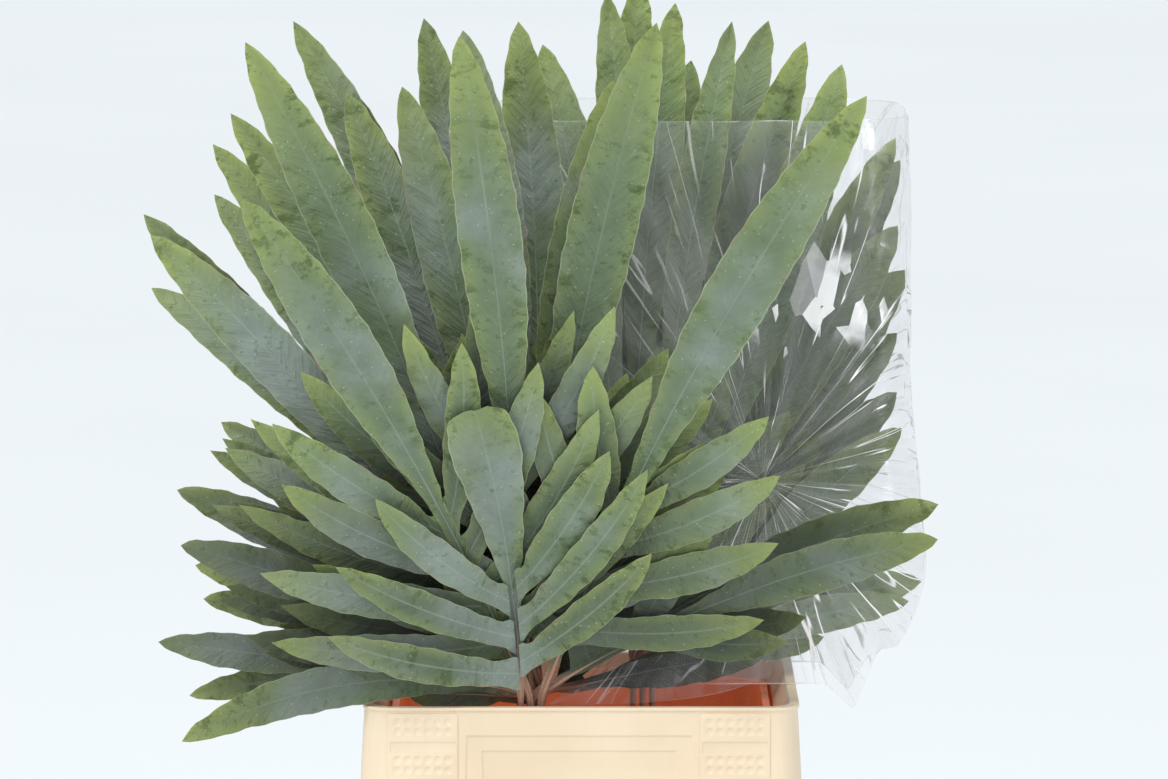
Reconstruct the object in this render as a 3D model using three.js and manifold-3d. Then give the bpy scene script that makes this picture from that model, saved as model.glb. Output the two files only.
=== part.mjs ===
// Filled florist's holder with cut blue star fern: a cream moulded holder, a terracotta bucket
// standing in it with water, a fan of glaucous lobed fronds over the front rim, and a second bunch
// behind it in a clear film sleeve. Millimetres, Z up, X to the right, Y away from the viewer. The
// origin is the centre of the holder's underside.
import * as THREE from "three";
import { mergeVertices } from "three/addons/utils/BufferGeometryUtils.js";
import Module from "manifold-3d";

const wasm = await Module();
wasm.setup();

// Moulded holder
const HOLDER = {
  topWidth: 310,
  topDepth: 235,
  baseWidth: 340,
  baseDepth: 269,
  height: 270,
  wall: 3.4,
  floor: 4,
  corner: 17,
  lipOut: 1.3,
  lipIn: 2.2,
  lipHeight: 2.4,
  flangeWidth: 281,
  flangeDrop: 22,
};
const RIM = HOLDER.height;
// Raised plates at both ends of the front face, measured down from the rim
const PLATE = { left: -113, right: 110, width: 50, top: 4.5, bottom: 53, rise: 0.8 };
// Stepped field in the middle of the front face
const FIELD = { left: -82, right: 80, top: 20, bottom: 226, depth: 1.0 };
const INNER_FIELD = { left: -71, right: 69, top: 31, bottom: 214, depth: 1.9 };

// Bucket that stands in the holder
const BUCKET = {
  topWidth: 270,
  topDepth: 214,
  baseWidth: 240,
  baseDepth: 182,
  rimBelow: 18,
  wall: 2.4,
  floor: 3,
  corner: 22,
  lip: 3.2,
  lipHeight: 4,
};
const WATER_LEVEL = 84;
const SEAT_GAP = 0.3;

// Leaf blades
const BLADE = 1.0;
const STALK_RADIUS = 2.1;
const STALK_SIDES = 5;
const STALK_FOOT = 12;

// Each bunch is a stack of nested sheets. Every frond lies in a sheet of its own, so that the lobes
// pass over each other and never through each other. The lean is the depth gained for each
// millimetre of distance from the point where the stalks meet.
const FRONT_BUNCH = {
  x: -36,
  y: -69.5,
  z: RIM,
  pitch: 2.15,
  leanFront: -0.46,
  leanRear: 0.03,
  roundLeft: 620,
  roundRight: 1500,
  footX: -48,
  footY: -44,
  footSpread: 1.25,
  columns: 3,
  columnStep: 7,
};
const REAR_BUNCH = {
  x: 45,
  y: 20,
  z: RIM,
  pitch: 2.6,
  leanFront: 0.02,
  leanRear: 0.25,
  roundLeft: 2400,
  roundRight: 2400,
  footX: 46,
  footY: 34,
  footSpread: 1.25,
  columns: 3,
  columnStep: 7,
};
const APEX_SOFTNESS = 40;

// One frond's sizes. The lean is in degrees from the vertical, to the right, and the reach is the
// distance from the meeting point to the tip. The arch is the bow of the midrib as a share of the
// reach, the strap the width of the end lobe, the split the share of the reach where the end lobe
// begins, pairs the number of side lobe pairs and lobe the length of the longest side lobe.
function frond(lean, reach, arch, strap, split, pairs, lobe, more = {}) {
  return { lean, reach, arch, strap, split, pairs, lobe, ...more };
}

// The nearest frond's lobes spread wide on the left and stand steep on the right: the angle of the
// lowest and of the highest lobe on each side
const FIRST_ANGLES = { left: [86, 55], right: [60, 47] };

// Fronds of the front bunch, from the nearest to the farthest. The nearest frond fans its
// overlapping lobes forward.
const FRONT_FRONDS = [
  frond(-8, 226, 0.03, 50, 0.46, 3, 140, { blunt: true, first: 20, fan: 3, angles: FIRST_ANGLES }),
  frond(-27.6, 424, 0.03, 44, 0.4, 4, 160),
  frond(26.3, 504, 0.03, 46, 0.36, 4, 138),
  frond(-4.6, 494, 0.02, 44, 0.38, 4, 160),
  frond(65.4, 315, 0.05, 35, 0.42, 2, 100),
  frond(-95.6, 257, 0.11, 32, 0.12, 1, 90, { first: 14, rise: 1.5 }),
  frond(-21.2, 519, 0.03, 44, 0.38, 4, 170),
  frond(-64.6, 275, 0.05, 32, 0.46, 2, 140),
  frond(-86, 96, 0.02, 26, 0.26, 1, 44, { first: 16, rise: -1 }),
  frond(10.8, 507, 0.02, 48, 0.37, 4, 150),
  frond(-38, 433, 0.04, 40, 0.42, 4, 165),
  frond(62.1, 319, 0.05, 36, 0.42, 2, 110),
  frond(-36.8, 443, 0.03, 35, 0.42, 4, 160),
  frond(-11.2, 457, 0.02, 42, 0.4, 3, 155),
  frond(-83.7, 277, 0.005, 27, 0.48, 2, 110, { rise: 9 }),
  frond(8.4, 459, 0.02, 42, 0.38, 3, 135),
  frond(-92.4, 247, 0.055, 27, 0.24, 1, 90, { first: 18, rise: 9 }),
  frond(-27.3, 477, 0.045, 40, 0.4, 3, 160),
  frond(-4.7, 487, 0.02, 48, 0.38, 3, 150),
  frond(-42.7, 401, 0.07, 34, 0.44, 4, 172),
  frond(78.8, 165, 0.02, 30, 0.26, 1, 56, { first: 18, rise: -2 }),
  frond(-15.8, 454, 0.03, 42, 0.4, 2, 150),
  frond(-29.8, 458, 0.045, 38, 0.4, 3, 160),
  frond(-19.9, 517, 0.05, 40, 0.38, 2, 150),
  frond(-8, 494, 0.02, 42, 0.38, 2, 140),
  frond(-1, 487, 0.02, 46, 0.38, 2, 130),
  frond(-62.1, 300, 0.05, 32, 0.46, 2, 120),
  frond(-70.5, 253, 0.05, 28, 0.46, 1, 84),
  frond(-49.9, 295, 0.05, 30, 0.46, 1, 84),
  frond(-76.8, 254, 0.05, 28, 0.46, 1, 84),
  frond(-32.3, 419, 0.04, 36, 0.42, 2, 120),
];

// Fronds in the film sleeve, from the nearest to the farthest
const REAR_FRONDS = [
  frond(77.2, 207, 0.03, 28, 0.3, 1, 42, { rise: 10, first: 24 }),
  frond(7.6, 485, 0.02, 32, 0.42, 2, 110),
  frond(45, 258, 0.03, 36, 0.4, 1, 84),
  frond(18.7, 473, -0.012, 46, 0.36, 3, 105),
  frond(-9, 467, 0.02, 46, 0.42, 3, 92),
  frond(71.5, 209, 0.06, 32, 0.4, 1, 72),
  frond(3.6, 492, 0.02, 40, 0.42, 2, 104),
  frond(29.8, 377, 0.03, 44, 0.42, 3, 102),
  frond(13.7, 475, 0.03, 40, 0.42, 2, 104),
  frond(-2.2, 496, 0.02, 38, 0.42, 2, 96),
  frond(4.6, 448, 0.02, 44, 0.42, 2, 104),
  frond(24.9, 428, 0.02, 38, 0.36, 3, 106),
  frond(0.6, 505, 0.02, 44, 0.42, 2, 96),
  frond(27.3, 417, 0.03, 44, 0.42, 3, 106),
  frond(33, 345, 0.03, 44, 0.42, 2, 98),
  frond(39, 312, 0.03, 38, 0.42, 2, 84),
  frond(11.3, 481, 0.03, 44, 0.44, 2, 90),
  frond(42.8, 269, 0.03, 36, 0.4, 1, 84),
];

// Side lobes: the angle to the midrib of the lowest and of the highest pair
const FRONT_LOBES = { low: 76, high: 39, width: 28, foot: 26 };
const REAR_LOBES = { low: 54, high: 34, width: 24, foot: 22 };
const LOWEST_LOBE = 44;
const DETAILED_FRONDS = 3;
const SIDE_LIMIT = 101;

// Film sleeve: half sizes of its rounded outline by height over the rim
const SLEEVE = { thickness: 0.9, around: 28, squareness: 4.5, wrinkle: 1.6 };
const SLEEVE_LEVELS = [
  { up: 0, left: -34, right: 212, front: -26, rear: 68 },
  { up: 24, left: -42, right: 234, front: -22, rear: 80 },
  { up: 65, left: -52, right: 252, front: -18, rear: 97 },
  { up: 130, left: -62, right: 250, front: -14, rear: 118 },
  { up: 195, left: -66, right: 243, front: -10, rear: 137 },
  { up: 270, left: -68, right: 242, front: -6, rear: 160 },
  { up: 345, left: -70, right: 242, front: -2, rear: 182 },
  { up: 409, left: -70, right: 239, front: 2, rear: 198 },
];

const COLOUR = {
  holder: 0xf3dfbd,
  bucket: 0x9a4322,
  water: 0xa9bcb8,
  frond: 0x6f8a78,
  rearFrond: 0x66806c,
  film: 0xe8eef0,
};

const radians = (degrees) => (degrees * Math.PI) / 180;
const mix = (a, b, t) => a + (b - a) * t;
const limit = (v, low, high) => Math.min(high, Math.max(low, v));
// A repeatable value between 0 and 1 for each pair of numbers
function vary(a, b) {
  const s = Math.sin(a * 12.9898 + b * 78.233) * 43758.5453;
  return s - Math.floor(s);
}

// Solids from geometry, and geometry from solids
function solidOf(geometry) {
  const bare = geometry.index ? geometry.toNonIndexed() : geometry.clone();
  bare.deleteAttribute("normal");
  bare.deleteAttribute("uv");
  const merged = mergeVertices(bare, 1e-4);
  return new wasm.Manifold(
    new wasm.Mesh({
      numProp: 3,
      vertProperties: merged.attributes.position.array,
      triVerts: new Uint32Array(merged.index.array),
    }),
  );
}

function geometryOf(solid) {
  const mesh = solid.getMesh();
  const geometry = new THREE.BufferGeometry();
  geometry.setAttribute("position", new THREE.BufferAttribute(mesh.vertProperties, 3));
  geometry.setIndex(new THREE.BufferAttribute(mesh.triVerts, 1));
  geometry.computeVertexNormals();
  return geometry;
}

function surface(points, triangles) {
  const geometry = new THREE.BufferGeometry();
  geometry.setAttribute("position", new THREE.Float32BufferAttribute(points.flat(), 3));
  geometry.setIndex(triangles.flat());
  return geometry;
}

function material(colour, roughness, opacity = 1) {
  return new THREE.MeshStandardMaterial({
    color: colour,
    roughness,
    metalness: 0,
    opacity,
    transparent: opacity < 1,
  });
}

// Holder and bucket: tapered boxes with rounded corners
function roundedRectangle(width, depth, corner) {
  const w = width / 2;
  const d = depth / 2;
  const shape = new THREE.Shape();
  shape.moveTo(-w + corner, -d);
  shape.lineTo(w - corner, -d);
  shape.absarc(w - corner, -d + corner, corner, -Math.PI / 2, 0);
  shape.lineTo(w, d - corner);
  shape.absarc(w - corner, d - corner, corner, 0, Math.PI / 2);
  shape.lineTo(-w + corner, d);
  shape.absarc(-w + corner, d - corner, corner, Math.PI / 2, Math.PI);
  shape.lineTo(-w, -d + corner);
  shape.absarc(-w + corner, -d + corner, corner, Math.PI, Math.PI * 1.5);
  return shape;
}

function taperedBox(low, high, corner) {
  const height = high.z - low.z;
  const geometry = new THREE.ExtrudeGeometry(roundedRectangle(low.width, low.depth, corner), {
    depth: height,
    bevelEnabled: false,
    curveSegments: 4,
  });
  const position = geometry.attributes.position;
  for (let i = 0; i < position.count; i++) {
    const t = position.getZ(i) / height;
    position.setX(i, position.getX(i) * mix(1, high.width / low.width, t));
    position.setY(i, position.getY(i) * mix(1, high.depth / low.depth, t));
    position.setZ(i, position.getZ(i) + low.z);
  }
  return geometry;
}

// Width and depth of a tapered vessel at a height, moved outward by an offset
function sectionAt(vessel, foot, height, z, offset) {
  const t = (z - foot) / height;
  return {
    z,
    width: mix(vessel.baseWidth, vessel.topWidth, t) + 2 * offset,
    depth: mix(vessel.baseDepth, vessel.topDepth, t) + 2 * offset,
  };
}

// A plate or a cut that follows the sloping front face, between two depths from that face
function alongFront(outline, from, to) {
  const shape = new THREE.Shape(outline.map(([x, z]) => new THREE.Vector2(x, z)));
  const geometry = new THREE.ExtrudeGeometry(shape, { depth: 1, bevelEnabled: false });
  const position = geometry.attributes.position;
  for (let i = 0; i < position.count; i++) {
    const x = position.getX(i);
    const z = position.getY(i);
    const face = -sectionAt(HOLDER, 0, HOLDER.height, z, 0).depth / 2;
    position.setXYZ(i, x, face + (position.getZ(i) > 0.5 ? from : to), z);
  }
  return geometry;
}

function panelOutline(field, slant) {
  return [
    [field.left - slant, RIM - field.bottom],
    [field.right + slant, RIM - field.bottom],
    [field.right, RIM - field.top],
    [field.left, RIM - field.top],
  ];
}

function makeHolder() {
  const at = (z, offset) => sectionAt(HOLDER, 0, HOLDER.height, z, offset);
  const corner = HOLDER.corner;
  const shell = solidOf(taperedBox(at(0, 0), at(RIM, 0), corner));
  const lip = taperedBox(
    at(RIM - HOLDER.lipHeight, HOLDER.lipOut),
    at(RIM, HOLDER.lipOut),
    corner + HOLDER.lipOut,
  );
  // The side walls thicken inward from the lip down to a ledge beside the bucket
  const ledge = RIM - HOLDER.flangeDrop;
  const cavity = taperedBox(
    at(HOLDER.floor, -HOLDER.wall),
    at(ledge, -HOLDER.wall),
    corner - HOLDER.wall,
  );
  const mouth = taperedBox(
    { ...at(ledge - 1, -HOLDER.wall - HOLDER.lipIn), width: HOLDER.flangeWidth },
    at(RIM + 2, -HOLDER.wall - HOLDER.lipIn),
    corner - HOLDER.wall,
  );
  let body = shell.add(solidOf(lip)).subtract(solidOf(cavity)).subtract(solidOf(mouth));
  for (const middle of [PLATE.left, PLATE.right]) {
    const outline = [
      [middle - PLATE.width / 2, RIM - PLATE.bottom],
      [middle + PLATE.width / 2, RIM - PLATE.bottom],
      [middle + PLATE.width / 2, RIM - PLATE.top],
      [middle - PLATE.width / 2, RIM - PLATE.top],
    ];
    body = body.add(solidOf(alongFront(outline, -PLATE.rise, 1)));
  }
  body = body.subtract(solidOf(alongFront(panelOutline(FIELD, 5), -6, FIELD.depth)));
  body = body.subtract(solidOf(alongFront(panelOutline(INNER_FIELD, -5), -6, INNER_FIELD.depth)));
  return geometryOf(body);
}

const BUCKET_FOOT = HOLDER.floor + SEAT_GAP;
const BUCKET_HEIGHT = RIM - BUCKET.rimBelow - BUCKET_FOOT;
const bucketAt = (z, offset) => sectionAt(BUCKET, BUCKET_FOOT, BUCKET_HEIGHT, z, offset);

function makeBucket() {
  const top = BUCKET_FOOT + BUCKET_HEIGHT;
  const corner = BUCKET.corner;
  const shell = solidOf(taperedBox(bucketAt(BUCKET_FOOT, 0), bucketAt(top, 0), corner));
  const lip = taperedBox(
    bucketAt(top - BUCKET.lipHeight, BUCKET.lip),
    bucketAt(top, BUCKET.lip),
    corner + BUCKET.lip,
  );
  const cavity = taperedBox(
    bucketAt(BUCKET_FOOT + BUCKET.floor, -BUCKET.wall),
    bucketAt(top + 2, -BUCKET.wall),
    corner - BUCKET.wall,
  );
  return geometryOf(shell.add(solidOf(lip)).subtract(solidOf(cavity)));
}

// Depth of a bunch's sheet at a place in the picture plane
function sheetDepth(bunch, order, count, x, z) {
  const dx = x - bunch.x;
  const dz = z - bunch.z;
  const away = Math.hypot(dx, dz, APEX_SOFTNESS) - APEX_SOFTNESS;
  const lean = mix(bunch.leanFront, bunch.leanRear, order / (count - 1));
  const round = dx < 0 ? bunch.roundLeft : bunch.roundRight;
  const swell = 5 * (away / 300) * Math.sin(dx / 85 + dz / 160 + 0.6);
  const stack = (order - (count - 1) / 2) * bunch.pitch;
  return bunch.y + stack + away * lean + (dx * dx) / (2 * round) + swell;
}

// Room between a sheet and the next one at that place
function sheetRoom(bunch, count, x, z) {
  const away = Math.hypot(x - bunch.x, z - bunch.z, APEX_SOFTNESS) - APEX_SOFTNESS;
  return bunch.pitch + (away * (bunch.leanRear - bunch.leanFront)) / (count - 1);
}

// Flat outline of one frond: places in the picture plane with a wave, and triangles between them
class FrondOutline {
  constructor(bunch, lobes, spec, order, count) {
    Object.assign(this, { bunch, lobes, spec, order, count });
    this.places = [];
    this.triangles = [];
    const column = (order % bunch.columns) - (bunch.columns - 1) / 2;
    this.footX = bunch.x + column * bunch.columnStep;
    this.footZ = bunch.z + (spec.rise || 0);
  }

  add(x, z, wave, forward = 0) {
    this.places.push([x, z, wave, forward]);
    return this.places.length - 1;
  }

  quad(leftLow, rightLow, rightHigh, leftHigh) {
    this.triangles.push([leftLow, rightLow, rightHigh], [leftLow, rightHigh, leftHigh]);
  }

  // Place and heading of the midrib at a share of its length
  midrib(share) {
    const { lean, reach, arch } = this.spec;
    const angle = radians(lean);
    const bow = -Math.sign(lean || 1) * arch * reach * 4 * share * (1 - share);
    const x = this.footX + Math.sin(angle) * reach * share + Math.cos(angle) * bow;
    const z = this.footZ + Math.cos(angle) * reach * share - Math.sin(angle) * bow;
    const turn = -Math.sign(lean || 1) * Math.atan(4 * arch * (1 - 2 * share));
    return { x, z, heading: angle + turn };
  }

  // A point beside the midrib, to the right of its heading
  beside(share, offset, wave) {
    const { x, z, heading } = this.midrib(share);
    return this.add(x + Math.cos(heading) * offset, z - Math.sin(heading) * offset, wave);
  }

  // A side lobe that grows from two points of the midrib strip
  lobe(low, high, side, relative, length, width, seed, forward) {
    const from = this.places[low];
    const to = this.places[high];
    const { lean } = this.spec;
    let x = (from[0] + to[0]) / 2;
    let z = (from[1] + to[1]) / 2;
    const rib = Math.atan2(to[0] - from[0], to[1] - from[1]);
    const most = radians(SIDE_LIMIT - (this.spec.rise ? 8 : 0));
    let heading = rib + side * relative;
    if (side * heading > most + radians(20)) return;
    if (side * heading > most) heading = side * most;
    if (Math.abs(heading - rib) < radians(24)) return;
    const bend = -side * radians(16 + 10 * vary(seed, 3));
    const rows = this.order < DETAILED_FRONDS && this.bunch === FRONT_BUNCH ? 4 : 3;
    const shares = rows === 4 ? [0.22, 0.5, 0.78, 1] : [0.32, 0.7, 1];
    const widths = rows === 4 ? [0.84, 1, 0.72, 0] : [0.95, 0.84, 0];
    let left = side > 0 ? high : low;
    let right = side > 0 ? low : high;
    let past = 0;
    shares.forEach((share, i) => {
      const step = (share - past) * length;
      heading += bend * (share - past) * 0.5;
      x += Math.sin(heading) * step;
      z += Math.cos(heading) * step;
      heading += bend * (share - past) * 0.5;
      past = share;
      if (i === shares.length - 1) {
        const tip = this.add(x, z, vary(seed, 9) - 0.5, forward);
        this.triangles.push([left, right, tip]);
        return;
      }
      const half = (width / 2) * widths[i];
      const wave = Math.sin(seed * 2.4 + share * 5.2 + lean);
      const acrossX = Math.cos(heading) * half;
      const acrossZ = Math.sin(heading) * half;
      const nextLeft = this.add(x - acrossX, z + acrossZ, wave, forward);
      const nextRight = this.add(x + acrossX, z - acrossZ, -wave, forward);
      this.quad(left, right, nextRight, nextLeft);
      left = nextLeft;
      right = nextRight;
    });
  }

  build() {
    const { spec, lobes } = this;
    const begin = (spec.first || LOWEST_LOBE) / spec.reach;
    const step = (spec.split - begin) / spec.pairs;
    const footShare = Math.min(0.66, lobes.foot / (step * spec.reach));
    // The foot of the blade, inside the top of the stalk
    const { footX, bunch } = this;
    let left = this.add(footX - 1.5, bunch.z - 14, 0);
    let right = this.add(footX + 1.5, bunch.z - 14, 0);
    const grow = (nextLeft, nextRight) => {
      this.quad(left, right, nextRight, nextLeft);
      left = nextLeft;
      right = nextRight;
    };
    grow(this.add(footX - 1.9, bunch.z, 0), this.add(footX + 1.9, bunch.z, 0));
    for (let pair = 0; pair < spec.pairs; pair++) {
      const low = begin + pair * step;
      const high = low + step * footShare;
      const t = spec.pairs > 1 ? pair / (spec.pairs - 1) : 0.5;
      const half = mix(3.4, 5.4, t);
      const skew = 5 / spec.reach;
      grow(this.beside(low - skew, -half, 0), this.beside(low + skew, half, 0));
      const lowLeft = left;
      const lowRight = right;
      grow(this.beside(high - skew, -half, 0), this.beside(high + skew, half, 0));
      for (const side of [-1, 1]) {
        const seed = this.order * 17 + pair * 3 + side;
        const { left: onLeft, right: onRight } = spec.angles || {};
        const [lowest, highest] = (side > 0 ? onRight : onLeft) || [lobes.low, lobes.high];
        const angle = mix(lowest, highest, t) + 3 * (vary(seed, 1) - 0.5);
        const share = 0.74 + 0.26 * Math.sin(Math.PI * mix(0.3, 0.85, t));
        const length = spec.lobe * share * (0.92 + 0.16 * vary(seed, 2));
        const room = Math.min(lobes.width, step * spec.reach * 0.98 + 2);
        const width = room * (0.92 + 0.16 * vary(seed, 5));
        this.lobe(
          side > 0 ? lowRight : lowLeft,
          side > 0 ? right : left,
          side,
          radians(angle),
          length,
          width,
          seed,
          (spec.fan || 0) * (spec.pairs - pair) + (side > 0 ? 1.6 : 0) * (spec.fan ? 1 : 0),
        );
      }
    }
    // The end lobe has a middle row of points along its midrib
    const shares = spec.blunt ? [0, 0.22, 0.5, 0.8, 1] : [0, 0.14, 0.32, 0.54, 0.76, 0.9, 1];
    const widths = spec.blunt ? [0.34, 0.56, 0.82, 1, 0.8] : [0.3, 0.54, 0.88, 1, 0.82, 0.52, 0];
    let middle = -1;
    shares.forEach((part, i) => {
      const share = mix(spec.split, 1, part);
      const half = (spec.strap / 2) * widths[i];
      if (widths[i] === 0) {
        const tip = this.beside(share, 0, 0);
        this.triangles.push([left, middle, tip], [middle, right, tip]);
        return;
      }
      const wave = Math.sin(this.order * 1.7 + part * 9);
      const nextLeft = this.beside(share, -half, wave);
      const nextMiddle = this.beside(share, 0, -0.3 * wave);
      const nextRight = this.beside(share, half, Math.sin(this.order * 2.3 + part * 8 + 2));
      if (middle < 0) {
        this.triangles.push([left, right, nextMiddle]);
        this.triangles.push([left, nextMiddle, nextLeft]);
        this.triangles.push([right, nextRight, nextMiddle]);
      } else {
        this.quad(left, middle, nextMiddle, nextLeft);
        this.quad(middle, right, nextRight, nextMiddle);
      }
      left = nextLeft;
      middle = nextMiddle;
      right = nextRight;
    });
    return this;
  }

  // The blade as a closed body: the same triangles on both faces, and a wall along the outline
  blade() {
    const { bunch, order, count } = this;
    const front = [];
    const back = [];
    for (const [x, z, wave, forward] of this.places) {
      const room = sheetRoom(bunch, count, x, z);
      const size = limit((room - BLADE) * 0.5 - 0.35, 0, 3.4);
      const ahead = this.spec.fan ? forward + 1.4 : 0;
      const y = sheetDepth(bunch, order, count, x, z) + size * wave - ahead;
      front.push([x, y - BLADE / 2, z]);
      back.push([x, y + BLADE / 2, z]);
    }
    const n = front.length;
    const faces = [];
    const edges = new Set();
    for (const [a, b, c] of this.triangles) {
      faces.push([a, b, c], [a + n, c + n, b + n]);
      edges.add(`${a},${b}`).add(`${b},${c}`).add(`${c},${a}`);
    }
    for (const edge of edges) {
      const [a, b] = edge.split(",").map(Number);
      if (!edges.has(`${b},${a}`)) faces.push([b, a, a + n], [b, a + n, b + n]);
    }
    return surface([...front, ...back], faces);
  }

  // Where the stalk's axis lies at a height
  stalkAxis(z) {
    const { bunch, order, count } = this;
    const topZ = bunch.z - 4;
    const topY = sheetDepth(bunch, order, count, this.footX, bunch.z - 9);
    const t = (topZ - z) / (topZ - STALK_FOOT);
    const spread = bunch.footSpread;
    const stack = (order - (count - 1) / 2) * bunch.pitch;
    const footX = bunch.footX + (this.footX - bunch.x) * spread;
    const footY = bunch.footY + stack * spread;
    return [mix(this.footX, footX, t), mix(topY, footY, t)];
  }

  // The stalk from its foot in the water to the blade, and the hole that it stands in
  stalk(radius, fromZ, toZ, neck) {
    const heights = [fromZ, mix(fromZ, toZ, 0.5), toZ - 6, toZ];
    const points = [];
    const faces = [];
    heights.forEach((z, ring) => {
      const [x, y] = this.stalkAxis(z);
      const r = ring === heights.length - 1 ? radius * neck : radius;
      for (let i = 0; i < STALK_SIDES; i++) {
        const angle = (2 * Math.PI * i) / STALK_SIDES;
        points.push([x + r * Math.cos(angle), y + r * Math.sin(angle), z]);
      }
    });
    for (let ring = 0; ring < heights.length - 1; ring++) {
      for (let i = 0; i < STALK_SIDES; i++) {
        const a = ring * STALK_SIDES + i;
        const b = ring * STALK_SIDES + ((i + 1) % STALK_SIDES);
        faces.push([a, b, b + STALK_SIDES], [a, b + STALK_SIDES, a + STALK_SIDES]);
      }
    }
    const top = (heights.length - 1) * STALK_SIDES;
    for (let i = 1; i < STALK_SIDES - 1; i++) {
      faces.push([0, i + 1, i], [top, top + i, top + i + 1]);
    }
    return surface(points, faces);
  }

  solid() {
    const blade = solidOf(this.blade());
    const stalk = solidOf(this.stalk(STALK_RADIUS, STALK_FOOT, this.bunch.z - 4, 0.8));
    return geometryOf(blade.add(stalk));
  }
}

function makeOutlines(bunch, lobes, specs) {
  return specs.map((spec, i) => new FrondOutline(bunch, lobes, spec, i, specs.length).build());
}

// Water in the bucket, with a plain hole for each stalk
function makeWater(outlines) {
  const floor = BUCKET_FOOT + BUCKET.floor + SEAT_GAP;
  const inset = -BUCKET.wall - SEAT_GAP;
  const corner = BUCKET.corner - BUCKET.wall;
  let body = solidOf(taperedBox(bucketAt(floor, inset), bucketAt(WATER_LEVEL, inset), corner));
  for (const outline of outlines) {
    const hole = outline.stalk(STALK_RADIUS + 0.35, STALK_FOOT - 0.6, WATER_LEVEL + 8, 1);
    body = body.subtract(solidOf(hole));
  }
  return geometryOf(body);
}

// Height of the sleeve's lower edge over the rim: inside the holder, over its right wall, outside it
function hemHeight(x) {
  if (x < 60) return mix(-10, 0.6, limit((x + 60) / 120, 0, 1));
  if (x < 178) return 0.6;
  if (x < 198) return mix(0.6, -20, (x - 178) / 20);
  return mix(-20, 14, (x - 198) / 16);
}

function makeSleeve() {
  const { thickness, around, squareness } = SLEEVE;
  const outer = [];
  const inner = [];
  const power = (v) => Math.sign(v) * Math.abs(v) ** (2 / squareness);
  SLEEVE_LEVELS.forEach((level, row) => {
    const middleX = (level.left + level.right) / 2;
    const middleY = (level.front + level.rear) / 2;
    const halfX = (level.right - level.left) / 2;
    const halfY = (level.rear - level.front) / 2;
    for (let i = 0; i < around; i++) {
      const angle = (2 * Math.PI * (i + 0.5)) / around;
      const crease = SLEEVE.wrinkle * Math.sin(i * 2.1 + row * 0.9);
      const outerX = middleX + power(Math.cos(angle)) * halfX;
      const z = RIM + (row === 0 ? hemHeight(outerX) : level.up);
      for (const [ring, inset] of [
        [outer, 0],
        [inner, thickness],
      ]) {
        const x = middleX + power(Math.cos(angle)) * (halfX - inset);
        const y = middleY + power(Math.sin(angle)) * (halfY - inset) + crease * Math.sin(angle);
        ring.push([x, y, z]);
      }
    }
  });
  const n = outer.length;
  const faces = [];
  const last = SLEEVE_LEVELS.length - 1;
  for (let i = 0; i < around; i++) {
    const j = (i + 1) % around;
    for (let row = 0; row < last; row++) {
      const a = row * around + i;
      const b = row * around + j;
      const c = b + around;
      const d = a + around;
      faces.push([a, b, c], [a, c, d], [a + n, c + n, b + n], [a + n, d + n, c + n]);
    }
    faces.push([j, i, i + n], [j, i + n, j + n]);
    const a = last * around + i;
    const b = last * around + j;
    faces.push([a, b, b + n], [a, b + n, a + n]);
  }
  return surface([...outer, ...inner], faces);
}

function named(name, geometry, look) {
  const mesh = new THREE.Mesh(geometry, look);
  mesh.name = name;
  return mesh;
}

const plant = new THREE.Group();
const vessel = new THREE.Group();
vessel.add(named("holder", makeHolder(), material(COLOUR.holder, 0.5)));
vessel.add(named("bucket", makeBucket(), material(COLOUR.bucket, 0.45)));
plant.add(vessel);

const frontOutlines = makeOutlines(FRONT_BUNCH, FRONT_LOBES, FRONT_FRONDS);
const rearOutlines = makeOutlines(REAR_BUNCH, REAR_LOBES, REAR_FRONDS);
vessel.add(
  named("water", makeWater([...frontOutlines, ...rearOutlines]), material(COLOUR.water, 0.1, 0.6)),
);

const frontBunch = new THREE.Group();
const frontLook = material(COLOUR.frond, 0.6);
const numbered = (name, i) => `${name}_${String(i + 1).padStart(2, "0")}`;
frontOutlines.forEach((outline, i) => {
  frontBunch.add(named(numbered("front_frond", i), outline.solid(), frontLook));
});
plant.add(frontBunch);

const sleevedBunch = new THREE.Group();
const rearLook = material(COLOUR.rearFrond, 0.6);
rearOutlines.forEach((outline, i) => {
  sleevedBunch.add(named(numbered("rear_frond", i), outline.solid(), rearLook));
});
sleevedBunch.add(named("sleeve", makeSleeve(), material(COLOUR.film, 0.15, 0.3)));
plant.add(sleevedBunch);

export default plant;
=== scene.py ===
"""Cut blue star fern in a florist's holder, dressed for its portrait.

A cream moulded holder carries a terracotta bucket with water. A fan of glaucous, deeply lobed fronds
leans over the front rim, and a second bunch stands behind it in a clear film sleeve. Sizes are in
millimetres and become metres when a mesh is made. X runs to the right, Y away from the viewer and Z
up, from the centre of the holder's underside.
"""

import logging
import math
from dataclasses import dataclass, field
from enum import Enum
from typing import Callable, Sequence

import bmesh
import bpy
import numpy as np
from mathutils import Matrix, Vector, noise


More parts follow.
